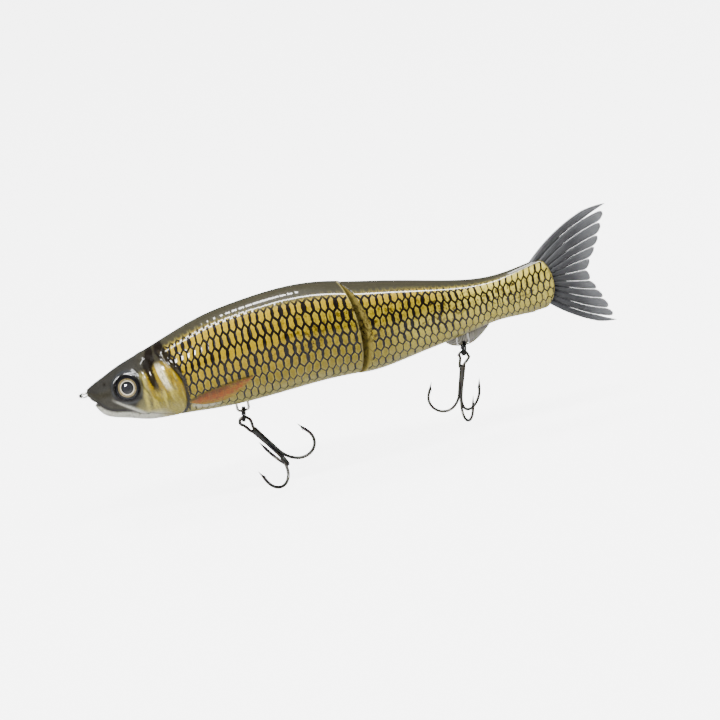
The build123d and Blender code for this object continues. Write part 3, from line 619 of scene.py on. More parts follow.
def skin_mesh(name, points, uv, colour, marks, close_first, close_last, material):
    """A closed mesh from a left-side grid and its mirror image.

    The first and last rows close to a "point" or along the mid plane as a "seam".
    """
    rows, half = points.shape[:2]
    columns = 2 * (half - 1)
    mirrored = points[:, half - 2:0:-1] * (1, -1, 1)
    ring = np.concatenate((points, mirrored), axis=1)
    order = np.concatenate((np.arange(half), np.arange(half - 2, 0, -1)))
    ids = np.arange(rows * columns).reshape(rows, columns)
    for row, close in ((0, close_first), (rows - 1, close_last)):
        if close == "seam":
            ids[row, half:] = ids[row, order[half:]]
        else:
            ids[row, :] = ids[row, 0]
    here, aft = ids[:-1], ids[1:]
    quads = np.stack((here, aft, np.roll(aft, -1, 1), np.roll(here, -1, 1)), axis=-1).reshape(-1, 4)
    used = np.unique(ids)
    quads = np.searchsorted(used, quads).tolist()
    faces = [f for f in (list(dict.fromkeys(q)) for q in quads) if len(f) > 2]
    vertices = (ring.reshape(-1, 3)[used] * MM).tolist()

    def spread(values):
        return values[:, order].reshape(rows * columns, -1)[used].astype(np.float32)

    numbers = {key: spread(values).ravel() for key, values in marks.items()}
    piece = mesh_piece(name, vertices, faces, material, **numbers)
    mesh = piece.data
    corners = np.zeros(len(mesh.loops), int)
    mesh.loops.foreach_get("vertex_index", corners)
    mesh.uv_layers.new(name="Scales").data.foreach_set("uv", spread(uv)[corners].ravel())
    tint = mesh.color_attributes.new("Tint", "FLOAT_COLOR", "POINT")
    opaque = np.ones((len(used), 1), np.float32)
    tint.data.foreach_set("color", np.hstack((spread(colour), opaque)).ravel())
    return piece


def linked(name, data):
    """A new object in the scene."""
    made = bpy.data.objects.new(name, data)
    bpy.context.scene.collection.objects.link(made)
    return made


def mesh_piece(name, vertices, faces, material, **attributes):
    """A smooth-shaded piece with outward normals, and one number per vertex for each attribute."""
    mesh = bpy.data.meshes.new(name)
    mesh.from_pydata(vertices, [], faces)
    for key, values in attributes.items():
        mesh.attributes.new(key, "FLOAT", "POINT").data.foreach_set("value", values)
    shape = bmesh.new()
    shape.from_mesh(mesh)
    bmesh.ops.recalc_face_normals(shape, faces=shape.faces)
    shape.to_mesh(mesh)
    shape.free()
    mesh.shade_smooth()
    mesh.materials.append(material)
    return linked(name, mesh)


def tube_faces(base, rings, corners):
    """Faces of a tube whose vertices come in rings."""
    starts = range(base, base + (rings - 1) * corners, corners)
    around = [(k, (k + 1) % corners) for k in range(corners)]
    return [(a + k, a + corners + k, a + corners + after, a + after) for a in starts
            for k, after in around]


def extend(values, rings_before, rings_after):
    """Repeat a grid's first and last rows for the rings that close its ends."""
    before = np.repeat(values[:1], rings_before, axis=0)
    after = np.repeat(values[-1:], rings_after, axis=0)
    return np.concatenate((before, values, after))


def close_skin(points, u, v, colour, marks, first, last):
    """Add the rings that close both ends, with the paint of the rows that they grow from."""
    counts = len(first), len(last)
    marks = {key: extend(value, *counts) for key, value in marks.items()}
    uv = extend(np.stack((u, v), axis=-1), *counts)
    return np.concatenate((first, points, last)), uv, extend(colour, *counts), marks


def nose_tip(ring):
    """Rings that round off the front of the head, from its tip to the first ring."""
    rings = []
    centre = np.array((0, 0, ring[:, 2].mean()))
    for k in range(NOSE_TIP_RINGS):
        lean = pi / 2 * (1 - k / NOSE_TIP_RINGS)
        shrunk = ring.copy()
        shrunk[:, 1:] = centre[1:] + (ring[:, 1:] - centre[1:]) * cos(lean)
        shrunk[:, 0] = FRONT_SECTIONS[0][0] - NOSE_TIP_DEPTH * sin(lean)
        rings.append(shrunk)
    return np.array(rings)


def make_front_skin(material):
    turn = column_turns(FRONT_COLUMNS)
    rows = np.concatenate([np.arange(*span) for span in FRONT_SPANS] + [FRONT_LAST_ROWS])
    meet = FRONT_BODY.settle(turn, 118, socket_x)
    x = stretch_rows(rows, rows[-1], meet, STRAIGHT_TO_X)
    turns = np.broadcast_to(turn, x.shape)
    points = FRONT_BODY.point(x, turns)
    u, v = scale_place(x, turns, FRONT_BODY)
    rim = meet[None, :] - x
    z = points[..., 2]
    side, along = head_lines(x, z)
    colour, marks = paint_front(x, z, turns, rim, side, along)
    height = scale_relief(u, v) * marks["Crowns"] * smooth(0.2, 1.2, rim)
    height += head_relief(x, z, side, along) * smooth(1.8, 4, x) - round_rim(rim)
    points = points + surface_normals(points) * height[..., None]
    points, mouth_shade = open_mouth(seat_eye(points))
    # painted shade: the deep inside of the mouth's opening is darkened
    marks["Ink"] = np.maximum(marks["Ink"], 0.8 * mouth_shade)
    socket = face_rings(points[-1], socket_x, SOCKET_RINGS)
    grid, uv, colour, marks = close_skin(points, u, v, colour, marks, nose_tip(points[0]), socket)
    marks["Scaled"][-SOCKET_RINGS:] = 0
    # painted light: the socket's faces take the brightened bevel colour
    colour[-SOCKET_RINGS:] = LIT_BEVEL
    return skin_mesh("front_skin", grid, uv, colour, marks, "point", "seam", material)


def make_rear_skin(material):
    turn = column_turns(REAR_COLUMNS)
    rows = np.concatenate((REAR_FIRST_ROWS, np.arange(*REAR_SPAN), REAR_LAST_ROWS))
    front = REAR_BODY.settle(turn, 122, nose_x)
    back = REAR_BODY.settle(turn, 203, end_x)
    share = rows[:, None] / rows[-1]
    x = front.max() + share * (back.min() - front.max())
    x = x + (front[None, :] - front.max()) * smooth(0.16, 0, share)
    x = x + (back[None, :] - back.min()) * smooth(0.84, 1, share)
    turns = np.broadcast_to(turn, x.shape)
    points = REAR_BODY.point(x, turns)
    u, v = scale_place(x, turns, REAR_BODY)
    front_edge, rear_edge = x - front[None, :], back[None, :] - x
    colour, marks = paint_rear(x, turns, rear_edge)
    height = scale_relief(u, v) * marks["Crowns"] * smooth(0.1, 1, front_edge)
    height *= smooth(0.2, 1.2, rear_edge)
    height -= round_rim(front_edge, 0.3) + round_rim(rear_edge, 1.2)
    points = points + surface_normals(points) * height[..., None]
    nose = face_rings(points[0], slotted_nose_x, REAR_NOSE_RINGS)[::-1]
    bevel = face_rings(points[0], nose_x, REAR_NOSE_RINGS)[::-1]
    end = face_rings(points[-1], end_x, REAR_END_RINGS)
    grid, uv, colour, marks = close_skin(points, u, v, colour, marks, nose, end)
    uv[:REAR_NOSE_RINGS, :, 0] += (points[0][None, :, 1] - bevel[..., 1]) / BEVEL_SCALE_LENGTH
    # painted light: the bevel takes the brightened bevel colour
    colour[:REAR_NOSE_RINGS] = LIT_BEVEL
    marks["Scaled"][:REAR_NOSE_RINGS] *= 0.35
    marks["Bars"][:REAR_NOSE_RINGS] = 0
    return skin_mesh("rear_skin", grid, uv, colour, marks, "seam", "seam", material)


# ---- node helpers

class Graph:
    """Short calls for building a node material."""

    def __init__(self, name):
        self.material = bpy.data.materials.new(name)
        self.material.use_nodes = True
        self.tree = self.material.node_tree
        self.shader = self.tree.nodes["Principled BSDF"]
        self.output = self.tree.nodes["Material Output"]

    def node(self, kind, inputs=None, **settings):
        """A node with its settings, and its inputs filled or joined by name or number."""
        made = self.tree.nodes.new("ShaderNode" + kind)
        for key, value in settings.items():
            setattr(made, key, value)
        for key, value in (inputs or {}).items():
            self.put(value, made.inputs[key])
        return made

    def first(self, kind, inputs=None, **settings):
        """The first output of a new node."""
        return self.node(kind, inputs, **settings).outputs[0]

    def put(self, value, socket):
        """Join a socket, or set a plain value."""
        if isinstance(value, bpy.types.NodeSocket):
            self.tree.links.new(value, socket)
        elif socket.type == "RGBA" and len(value) == 3:
            socket.default_value = (*value, 1)
        else:
            socket.default_value = value

    def math(self, operation, *values, clamp=False):
        inputs = dict(enumerate(values))
        return self.first("Math", inputs, operation=operation, use_clamp=clamp)

    def times(self, first, second, clamp=False):
        return self.math("MULTIPLY", first, second, clamp=clamp)

    def plus(self, first, second):
        return self.math("ADD", first, second)

    def minus(self, first, second):
        return self.math("SUBTRACT", first, second)

    def mix(self, share, low, high, mode="MIX"):
        """Mix two colours."""
        inputs = {0: share, 6: low, 7: high}
        return self.node("Mix", inputs, data_type="RGBA", blend_type=mode).outputs[2]

    def pick(self, share, low, high):
        """Mix two numbers."""
        return self.first("Mix", {0: share, 2: low, 3: high}, data_type="FLOAT")

    def step(self, *values):
        """Smooth step of a value from low to high, onto 0 to 1 or two given numbers."""
        inputs = dict(enumerate(values))
        return self.first("MapRange", inputs, interpolation_type="SMOOTHSTEP")

    def attribute(self, name, output="Fac"):
        return self.node("Attribute", attribute_name=name).outputs[output]

    def noise(self, scale, detail=3, roughness=0.5, vector=None):
        place = vector or self.node("TexCoord").outputs["Object"]
        return self.first("TexNoise", {"Scale": scale, "Detail": detail,
                                                 "Roughness": roughness, "Vector": place})

    def bump(self, height, strength, distance):
        inputs = {"Strength": strength, "Distance": distance, "Height": height}
        self.set(Normal=self.first("Bump", inputs))

    def set(self, **values):
        """Fill or join the shader's inputs."""
        for key, value in values.items():
            self.put(value, self.shader.inputs[key.replace("_", " ")])


def scale_nodes(g):
    """The lattice in nodes: a value per scale edge, and the distances from both kinds of edge."""
    lattice = g.first("UVMap", uv_map="Scales")
    u, v, _ = g.node("SeparateXYZ", {0: lattice}).outputs
    sides, rises, reaches = [], [], []
    for shift in (0.5, 0):
        side = g.minus(g.math("FRACT", g.plus(u, shift)), 0.5)
        half_row = g.math("FRACT", g.plus(g.times(v, 0.5), shift))
        rise = g.times(g.minus(half_row, 0.5), 2)
        sides.append(side)
        rises.append(rise)
        reaches.append(g.plus(g.math("ABSOLUTE", rise), g.times(g.math("ABSOLUTE", side), SLANT)))
    first = g.math("LESS_THAN", *reaches)
    side, rise = g.pick(first, *sides[::-1]), g.pick(first, *rises[::-1])
    upright = g.times(g.minus(0.5, g.math("ABSOLUTE", side)), SCALE_SIZE)
    slanted = g.times(g.minus(1 - SIDE_SHARE / 2, g.math("MINIMUM", *reaches)), SCALE_SIZE)
    edge_number = g.pick(first, g.math("FLOOR", g.plus(u, 37.5)), g.math("FLOOR", u))
    number = g.first("CombineXYZ", {0: edge_number, 1: g.math("FLOOR", g.plus(v, 0.5))})
    chance = g.first("TexWhiteNoise", {"Vector": number}, noise_dimensions="2D")
    return side, rise, upright, slanted, chance


def scale_ink(g, side, rise, upright, slanted, chance):
    """Printed outlines: uneven upright bars that taper to thin slanted lines."""
    bars = g.attribute("Bars")
    uneven = g.plus(0.55, g.times(chance, 0.9))
    taper = g.minus(1, g.times(g.math("ABSOLUTE", rise), 1.5))
    bar = g.times(g.times(uneven, bars), g.plus(0.38, g.times(taper, 0.4)))
    family = g.step(g.times(side, rise), -0.02, 0.02, 1, 0.45)
    kept = g.pick(g.attribute("Slants"), g.times(family, 0.7), 1)
    line = g.minus(g.times(kept, 0.6), 0.07)
    inside = g.math("SMOOTH_MIN", g.minus(upright, bar), g.minus(slanted, line), 0.22)
    ragged = g.times(g.minus(g.noise(1100), 0.5), 0.3)
    inside = g.plus(inside, g.times(ragged, bars))
    return g.times(g.step(inside, 0.11, -0.07), g.attribute("Scaled"), clamp=True)


SCALE_GLOW = (0.42, 0.36, 0.07)
MOTTLE_BROWN = (0.03, 0.017, 0.001)


def body_paint():
    """Clear-coated paint: mixed tint with painted highlights and painted light on the joint bevel,
    printed scales, mottling, and ink lines with painted shade.
    """
    g = Graph("painted_scales")
    side, rise, upright, slanted, chance = scale_nodes(g)
    ink = scale_ink(g, side, rise, upright, slanted, chance)
    scaled = g.attribute("Scaled")
    nearest = g.math("MINIMUM", upright, slanted)
    glow = g.times(g.times(g.step(nearest, 1.3, 0.35), scaled), 0.35)
    lit = g.mix(glow, g.attribute("Tint", "Color"), SCALE_GLOW)
    specks = g.step(g.noise(620, 4, 0.65), 0.47, 0.62)
    clouds = g.step(g.noise(70, 2), 0.38, 0.62)
    patchy = g.plus(0.4, g.times(clouds, 0.6))
    mottle = g.times(g.times(specks, g.attribute("Mottle")), patchy, clamp=True)
    grain = g.step(g.noise(1500, 2), 0.3, 0.75, 0.82, 1.12)
    shaded = g.mix(1, g.mix(mottle, lit, MOTTLE_BROWN), grain, "MULTIPLY")
    # the ink attribute brings printed head lines and painted shade from the trench, gill edge and
    # mouth
    drawn = g.mix(g.attribute("Ink"), g.mix(ink, shaded, INK_AND_SHADE), INK_AND_SHADE)
    g.set(Base_Color=drawn, Roughness=g.step(g.noise(500, 3), 0.3, 0.7, 0.3, 0.46))
    g.set(Metallic=0, Specular_IOR_Level=0.08, Coat_Weight=1, Coat_Roughness=0.05, Coat_IOR=1.42)
    ripple = g.plus(g.times(g.step(nearest, 0, 0.6), scaled), g.times(g.noise(1100, 2), 0.25))
    g.bump(ripple, 0.35, 0.00008)
    return g.material


def metal(name, colour, roughness, tarnish, tarnish_colour):
    """Bare or plated metal with drawn streaks, uneven gloss and tarnish."""
    g = Graph(name)
    stained = g.step(g.noise(420, 4, 0.6), 0.45, 0.75, 0, tarnish)
    gloss = g.step(g.noise(700, 3), 0.3, 0.7, roughness * 0.75, roughness * 1.4)
    g.set(Base_Color=g.mix(stained, colour, tarnish_colour), Roughness=gloss, Metallic=1)
    g.bump(g.noise(2600, 2), 0.25, 0.00003)
    return g.material


def moulded(name, colour, roughness):
    """Plain moulded plastic with fine speckle."""
    g = Graph(name)
    speckle = g.step(g.noise(900, 3), 0.35, 0.7, 0.8, 1.2)
    gloss = g.step(g.noise(500), 0.3, 0.7, roughness * 0.85, roughness * 1.2)
    g.set(Base_Color=g.mix(1, colour, speckle, "MULTIPLY"), Roughness=gloss)
    g.bump(g.noise(1800), 0.2, 0.00004)
    return g.material


LENS_IOR = 1.5


def clear_lens():
    """Clear resin dome: glossy on its outer face only, and shows the iris behind."""
    g = Graph("eye_lens")
    g.tree.nodes.remove(g.shader)
    inner = g.node("NewGeometry").outputs["Backfacing"]
    share = g.times(g.first("Fresnel", {"IOR": LENS_IOR}), g.minus(1, inner))
    uneven = g.step(g.noise(300), 0.3, 0.7, 0.012, 0.03)
    gloss = g.first("BsdfAnisotropic", {"Roughness": uneven})
    clear = g.first("BsdfTransparent")
    g.put(g.first("MixShader", {0: share, 1: clear, 2: gloss}), g.output.inputs[0])
    return g.material


PUPIL_DARK, PUPIL_LIGHT = (0.006, 0.006, 0.007), (0.014, 0.015, 0.017)
IRIS_DARK, IRIS_LIGHT = (0.085, 0.062, 0.024), (0.25, 0.205, 0.105)
RING_DARK, RING_LIGHT = (0.5, 0.45, 0.32), (0.75, 0.7, 0.54)
IRIS_RIM = (0.004, 0.004, 0.005)
SMOKE_ROOT, SMOKE_TIP, SMOKE_LINE = (0.022, 0.023, 0.026), (0.17, 0.175, 0.185), (0.13, 0.132, 0.135)
FIN_WEB, FIN_RAY = (0.25, 0.235, 0.185), (0.1, 0.09, 0.07)


def iris_paint():
    """Printed foil iris: dark pupil, pale ring, gold iris with fibres, black rim."""
    g = Graph("iris_foil")
    radius = g.attribute("Radius")
    fibres = g.noise(9, 4, 0.7, g.attribute("Fibre", "Vector"))
    gold = g.mix(g.step(fibres, 0.35, 0.7), IRIS_DARK, IRIS_LIGHT)
    pale = g.mix(g.step(fibres, 0.3, 0.8), RING_DARK, RING_LIGHT)
    pupil = g.mix(g.step(g.noise(500), 0.3, 0.7), PUPIL_DARK, PUPIL_LIGHT)
    past_pupil = g.step(radius, 2.72, 2.82)
    colour = g.mix(past_pupil, pupil, gold)
    colour = g.mix(g.times(past_pupil, g.step(radius, 3.22, 3.05)), colour, pale)
    colour = g.mix(g.step(radius, 3.95, 4.08), colour, IRIS_RIM)
    g.set(Base_Color=colour, Roughness=g.step(g.noise(800), 0.3, 0.7, 0.25, 0.4))
    g.set(Specular_IOR_Level=0.05)
    g.bump(fibres, 0.3, 0.00006)
    return g.material


def elastomer():
    """Smoke-grey soft plastic, paler and clearer at the ray tips."""
    g = Graph("smoke_elastomer")
    tip = g.attribute("Tip")
    cloud = g.noise(160, 4, 0.6)
    line = g.times(g.attribute("Streak"), g.step(cloud, 0.3, 0.7, 0.35, 0.8))
    lined = g.mix(line, g.mix(tip, SMOKE_ROOT, SMOKE_TIP), SMOKE_LINE)
    g.set(Base_Color=lined, Roughness=g.step(cloud, 0.3, 0.7, 0.28, 0.45))
    g.set(Alpha=g.step(tip, 0.55, 1, 1, 0.72))
    g.bump(g.noise(1500, 3), 0.3, 0.00004)
    return g.material


def pale_plastic():
    """Milky clear fin with moulded rays."""
    g = Graph("pale_fin")
    ray = g.attribute("Streak")
    cloud = g.noise(300, 3)
    g.set(Base_Color=g.mix(g.step(ray, 0.2, 0.9), FIN_WEB, FIN_RAY))
    g.set(Alpha=g.step(ray, 0.1, 0.9, 0.86, 1), Roughness=g.step(cloud, 0.3, 0.7, 0.2, 0.35))
    g.bump(cloud, 0.2, 0.00004)
    return g.material


# ---- eyes

# The printed disc from its centre to its underside: distance out and height along the axis
EYE_PROFILE = [
    (0, -0.3), (0.9, -0.29), (1.8, -0.25), (2.68, -0.2), (2.84, -0.12), (3.05, -0.08),
    (3.25, -0.1), (3.6, -0.08), (3.95, -0.05), (4.2, -0.04), (4.6, -0.03), (5, -0.02),
    (5.03, 0.2), (5.12, 0.36), (5.28, 0.42), (5.44, 0.34), (5.52, 0.14), (5.5, -0.3),
    (5.3, -0.9), (4.9, -1), (2.5, -1), (0, -1)]
EYE_STEPS = 96


def make_eye(side, name, material):
    """Printed disc with a raised rim that laps the socket's edge."""
    axis = EYE_AXIS * (1, -side, 1)
    centre = EYE_CENTRE * (1, -side, 1)
    across = np.cross(axis, (0, 0, 1))
    across /= norm(across)
    upward = np.cross(across, axis)
    vertices, radius, fibre = [], [], []
    for reach, height in EYE_PROFILE:
        for k in range(EYE_STEPS if reach else 1):
            turn = 2 * pi * k / EYE_STEPS
            out = cos(turn) * across + sin(turn) * upward
            vertices.append(tuple((centre + out * reach + axis * height) * MM))
            radius.append(reach)
            fibre.append((cos(turn) * 1.5, sin(turn) * 1.5, reach * 0.12))
    last = len(vertices) - 1
    around = [(k, (k + 1) % EYE_STEPS) for k in range(EYE_STEPS)]
    faces = [(0, 1 + k, 1 + after) for k, after in around]
    faces += tube_faces(1, len(EYE_PROFILE) - 2, EYE_STEPS)
    faces += [(last, last - EYE_STEPS + after, last - EYE_STEPS + k) for k, after in around]
    piece = mesh_piece(name, vertices, faces, material, Radius=radius)
    layer = piece.data.attributes.new("Fibre", "FLOAT_VECTOR", "POINT")
    layer.data.foreach_set("vector", np.array(fibre, float).ravel())
    return piece


# ---- fins

TAIL_ROOTS = [(198, 13.9), (200.8, 12.9), (202.6, 11.5), (204.3, 10.1), (204.8, 8.6), (205.1, 7.1),
              (205.2, 5.6), (205.2, 4), (205, 2.4), (204.6, 0.7), (204, -1.2), (203, -3.4)]
TAIL_TIPS = [(233.8, 33.8), (232.4, 29.6), (230.4, 23.6), (228.6, 18.6), (226.2, 13.8), (222.6, 8.6),
             (221.8, 3.8), (224.6, -1.8), (226.8, -5.6), (229, -11.2), (230.4, -16), (231.6, -19.4)]


TAIL_BOW = 0.16 / 20                 # bow of a ray for each millimetre that it rises
TAIL_GAP = 0.085                     # clear gap between two rays
TAIL_ROOT_THICKNESS, TAIL_TIP_THICKNESS = 0.85, 0.24
TAIL_STEPS, TAIL_COLUMNS = 49, 13
ANAL_EDGE = [(155.2, -11.6), (157.4, -13.8), (161, -15.2), (166.5, -15.3), (171.5, -12.6),
             (176, -8.6)]
ANAL_FOCUS_X, ANAL_NARROWING = 166, 0.14
ANAL_STEPS, ANAL_ROWS = 150, 14
ANAL_RAY_SPACING = 1.5


def slab_faces(base, rows, columns):
    """Faces of a closed slab whose vertices come in rows of pairs, one for each side."""
    faces = []
    for row in range(base, base + 2 * columns * (rows - 1), 2 * columns):
        after = row + 2 * columns
        for j in range(2 * columns - 2):
            faces.append((row + j, row + j + 2, after + j + 2, after + j))
        for j in (0, 2 * columns - 2):
            faces.append((row + j, row + j + 1, after + j + 1, after + j))
    for row in (base, base + 2 * columns * (rows - 1)):
        for j in range(row, row + 2 * columns - 2, 2):
            faces.append((j, j + 1, j + 3, j + 2))
    return faces


def tail_ray(root, tip):
    """Centre line of one ray: leaves the root steeply and flattens toward the tip."""
    root, tip = np.array(root), np.array(tip)
    span = tip - root
    middle = root + 0.55 * span + TAIL_BOW * span[1] * np.array((-span[1], span[0]))
    share = np.linspace(0, 1, TAIL_STEPS)[:, None]
    return root * (1 - share)**2 + 2 * middle * share * (1 - share) + tip * share**2


def ray_ending(share, outer):
    """Width left along a ray: the two outer rays draw out to points and the others end round."""
    taper_from = 0.72 if outer else 0.89
    f = np.clip((share - taper_from) / (1 - taper_from), 0, 1)
    return (1 - f)**0.8 if outer else np.sqrt(np.maximum(1 - f**2.4, 0))


def make_tail(material):
    """Soft tail: twelve flat rays that join at the root and end in separate tips."""
    lines = np.array([tail_ray(root, tip) for root, tip in zip(TAIL_ROOTS, TAIL_TIPS)])
    middles = (lines[:-1] + lines[1:]) / 2
    upper = np.concatenate((lines[:1] * 2 - middles[:1], middles))
    lower = np.concatenate((middles, lines[-1:] * 2 - middles[-1:]))
    share = np.linspace(0, 1, TAIL_STEPS)
    vertices, faces, tips, streaks = [], [], [], []
    for k in range(len(lines)):
        ending = ray_ending(share, k in (0, len(lines) - 1))
        centre, reach = (upper[k] + lower[k]) / 2, (upper[k] - lower[k]) / 2
        width = norm(reach, axis=1)
        gap = TAIL_GAP * smooth(0.15, 0.45, share)
        fill = np.maximum(width - gap, 0.05) / np.maximum(width, 1e-6) * ending
        faces += slab_faces(len(vertices), TAIL_STEPS, TAIL_COLUMNS)
        for i, f in enumerate(share):
            full = TAIL_ROOT_THICKNESS * (1 - f) + TAIL_TIP_THICKNESS
            for s in np.linspace(-1, 1, TAIL_COLUMNS):
                x, z = (centre[i] + reach[i] * fill[i] * s) * MM
                ridge = 0.5 + 0.5 * cos(2 * pi * s * 2.5)
                thick = full * sqrt(max(1 - 0.93 * s * s, 0)) * (0.86 + 0.14 * ridge)
                thick *= (0.25 + 0.75 * ending[i]) * MM
                vertices += [(x, -thick, z), (x, thick, z)]
                tips += [smooth(0.45, 1, f) * 0.75 + 0.25 * smooth(0.7, 1, abs(s)) * f] * 2
                streaks += [ridge * 0.5 + 0.5 * smooth(0.82, 0.98, s)] * 2
    return mesh_piece("tail_rays", vertices, faces, material, Tip=tips, Streak=streaks)


def make_anal_fin(material):
    """Thin rayed fin behind and ahead of the rear hanger."""
    low = smooth_path(ANAL_EDGE, ANAL_STEPS)
    root_x = low[:, 0] * (1 - ANAL_NARROWING) + ANAL_NARROWING * ANAL_FOCUS_X
    high = np.stack((root_x, REAR_BODY.bottom(low[:, 0]) + 1.6), axis=1)
    vertices, streaks = [], []
    for root, edge in zip(high, low):
        for j in range(ANAL_ROWS):
            f = j / (ANAL_ROWS - 1)
            x, z = root * (1 - f) + edge * f
            ray = 0.5 + 0.5 * cos(2 * pi * (1.1 * (x - 150) + 2.4 * (z + 12)) / ANAL_RAY_SPACING)
            thick = (0.62 - 0.36 * f) * (0.85 + 0.15 * ray)
            vertices += [(x * MM, -thick * MM, z * MM), (x * MM, thick * MM, z * MM)]
            streaks += [ray, ray]
    faces = slab_faces(0, ANAL_STEPS, ANAL_ROWS)
    return mesh_piece("anal_fin_rays", vertices, faces, material, Streak=streaks)


# ---- split rings

RING_LEANS = {"front_split_ring": 12, "rear_split_ring": 10.5}
RING_REACH, RING_HALF_THICK, RING_HALF_WIDE = 3.025 * MM, 0.36 * MM, 0.355 * MM
RING_COIL_OFFSET = 0.375 * MM
RING_START, RING_TURN = radians(60), 4 * pi * 0.985
RING_STEPS, RING_CORNERS = 200, 12


def rounded_square(angle):
    """Corner of a wire section with eased edges."""
    return [np.sign(value) * abs(value)**0.6 for value in (cos(angle), sin(angle))]


def make_split_ring(node, name, material):
    """Two flat coils of spring wire with a crossover and free ends."""
    low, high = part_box(node)
    centre = np.array((low + high) / 2)
    lean = radians(RING_LEANS[node])
    axle = np.array((cos(lean), 0, -sin(lean)))
    down = np.array((-sin(lean), 0, -cos(lean)))
    side = np.cross(axle, down)
    vertices = []
    for share in np.linspace(0, 1, RING_STEPS):
        turn = RING_START + RING_TURN * share
        offset = RING_COIL_OFFSET * (2 * smooth(0.455, 0.545, share) - 1)
        out = cos(turn) * down + sin(turn) * side
        for k in range(RING_CORNERS):
            wide, thick = rounded_square(2 * pi * k / RING_CORNERS)
            reach = RING_REACH + RING_HALF_THICK * thick
            vertices.append(tuple(centre + out * reach + axle * (offset + RING_HALF_WIDE * wide)))
    last = (RING_STEPS - 1) * RING_CORNERS
    faces = tube_faces(0, RING_STEPS, RING_CORNERS)
    faces.append(tuple(range(RING_CORNERS)))
    faces.append(tuple(range(last, last + RING_CORNERS)))
    return mesh_piece(name, vertices, faces, material)


# ---- assembly

PAINT, IRIS, LENS = body_paint(), iris_paint(), clear_lens()
SMOKE, PALE = elastomer(), pale_plastic()
STEEL = metal("stainless_wire", (0.6, 0.59, 0.56), 0.2, 0.35, (0.32, 0.3, 0.26))
NICKEL = metal("black_nickel", (0.07, 0.068, 0.063), 0.34, 0.6, (0.085, 0.064, 0.036))
SPRING = metal("black_spring", (0.024, 0.024, 0.024), 0.32, 0.4, (0.045, 0.038, 0.026))
BRASS = metal("ballast_metal", (0.42, 0.36, 0.24), 0.35, 0.5, (0.2, 0.17, 0.12))
DARK = moulded("dark_pin", (0.02, 0.02, 0.018), 0.35)

CAD_FINISHES = [
    (STEEL, "stainless_wire", ("line_tie", "front_hook_hanger", "rear_hook_hanger",
                               "upper_joint_eye", "lower_joint_eye", "joint_pin")),
    (LENS, "eye_lens", ("eye_lens_left", "eye_lens_right")),
    (BRASS, "ballast", ("front_ballast_fore", "front_ballast_aft", "rear_ballast")),
    (DARK, "dark_pin", ("tail_pin",)),
    (NICKEL, "black_nickel", ("front_double_hook", "front_single_hook", "rear_double_hook",
                              "rear_single_hook")),
]


def finish_cad_nodes():
    """Give each shown CAD node its procedural finish."""
    for material, slot, names in CAD_FINISHES:
        for name in names:
            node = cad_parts[name]
            node.data.materials.clear()
            node.data.materials.append(material)


def place(piece, body, slot, *nodes):
    """Ride a body and stand for its CAD nodes, which are hidden; slot is not used."""
    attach(piece, body)
    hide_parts(*nodes)


def build_lure():
    place(make_front_skin(PAINT), "front_section", "painted_shell", "front_shell_left",
          "front_shell_right")
    place(make_rear_skin(PAINT), "rear_section", "painted_shell", "rear_shell_left",
          "rear_shell_right")
    for side, hand in ((-1, "left"), (1, "right")):
        place(make_eye(side, "eye_" + hand, IRIS), "front_section", "eye_foil", "eye_base_" + hand)
    place(make_tail(SMOKE), "rear_section", "smoke_elastomer", "tail_fin")
    place(make_anal_fin(PALE), "rear_section", "pale_fin", "anal_fin")
    for end in ("front", "rear"):
        node = end + "_split_ring"
        coils = make_split_ring(node, end + "_ring_coils", SPRING)
        place(coils, end + "_ring", "black_nickel", node)
    finish_cad_nodes()


# ---- floor, light and camera

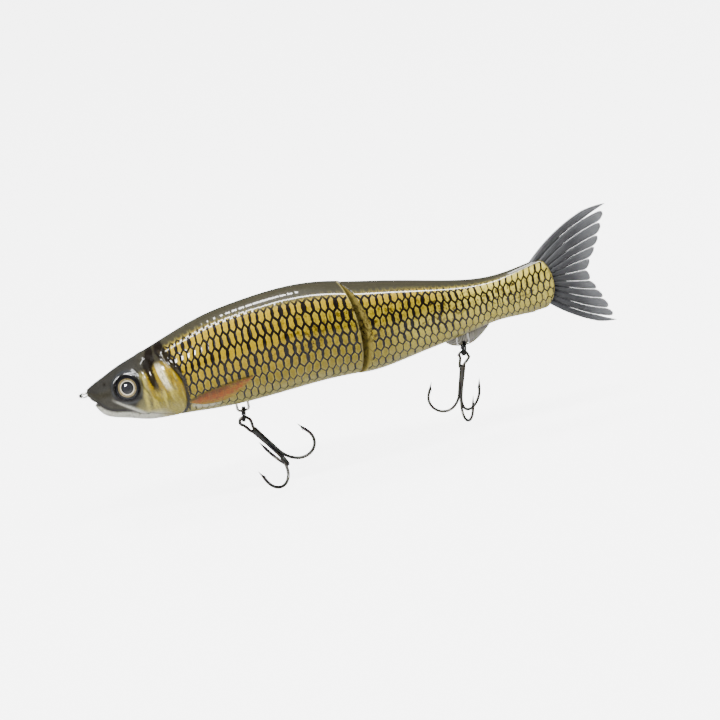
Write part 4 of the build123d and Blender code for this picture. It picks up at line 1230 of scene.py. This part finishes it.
def make_floor():
    """A large pale floor just under the lowest hook."""
    size, level = 6, cad_low.z - 0.002
    mesh = bpy.data.meshes.new("floor")
    corners = [(-size, -size), (size, -size), (size, size), (-size, size)]
    mesh.from_pydata([(x, y, level) for x, y in corners], [], [(0, 1, 2, 3)])
    g = Graph("pale_floor")
    g.put(g.step(g.noise(3), 0.3, 0.7, 0.5, 0.6), g.shader.inputs["Roughness"])
    g.set(Base_Color=(0.16, 0.16, 0.16), Emission_Color=(1, 1, 1), Emission_Strength=5.6)
    mesh.materials.append(g.material)
    floor = linked("floor", mesh)
    glow = bpy.data.collections.new("lit_by_floor")
    glow.objects.link(floor)
    floor.light_linking.receiver_collection = glow


def make_softbox(name, middle, toward, width, length, power):
    """An area light at middle that faces a point, its length along X."""
    light = bpy.data.lights.new(name, "AREA")
    light.shape = "RECTANGLE"
    light.size, light.size_y = length, width
    light.energy = power
    box = linked(name, light)
    box.location = middle
    back = (Vector(middle) - Vector(toward)).normalized()
    side = (Vector((1, 0, 0)) - back * back.x).normalized()
    upward = back.cross(side)
    box.rotation_euler = Matrix((side, upward, back)).transposed().to_euler()


SOFTBOXES = [
    ("overhead_strip", (0.16, -0.24, 0.86), 0.07, 1.3, 24),
    ("overhead_patch", (0.03, 0.12, 0.85), 0.14, 0.28, 8),
    ("front_left", (-0.5, -0.77, 0.4), 0.16, 0.16, 12),
]
WORLD_STRENGTH = 0.13


def make_lights():
    world = bpy.data.worlds.new("studio")
    bpy.context.scene.world = world
    world.use_nodes = True
    background = world.node_tree.nodes["Background"]
    background.inputs["Color"].default_value = (1, 1, 1, 1)
    background.inputs["Strength"].default_value = WORLD_STRENGTH
    heart = Vector((0.115, 0, 0.005))
    for name, middle, width, length, power in SOFTBOXES:
        make_softbox(name, middle, heart, width, length, power)


def make_camera():
    data = bpy.data.cameras.new("camera")
    data.lens, data.sensor_width = CAMERA_LENS, 36
    camera = linked("camera", data)
    bpy.context.scene.camera = camera
    a, e = CAMERA_AZIMUTH, CAMERA_ELEVATION
    back = Vector((sin(a) * cos(e), -cos(a) * cos(e), sin(e)))
    right = Vector((cos(a), sin(a), 0))
    upward = back.cross(right)
    tilt = Matrix.Rotation(LURE_PITCH, 3, "Y")
    axes = tilt @ Matrix((right, upward, back)).transposed()
    spot = axes @ Vector((CAMERA_SIDESTEP, CAMERA_RISE, CAMERA_DISTANCE))
    camera.matrix_world = Matrix.Translation(spot) @ axes.to_4x4()


build_lure()
make_floor()
make_lights()
make_camera()
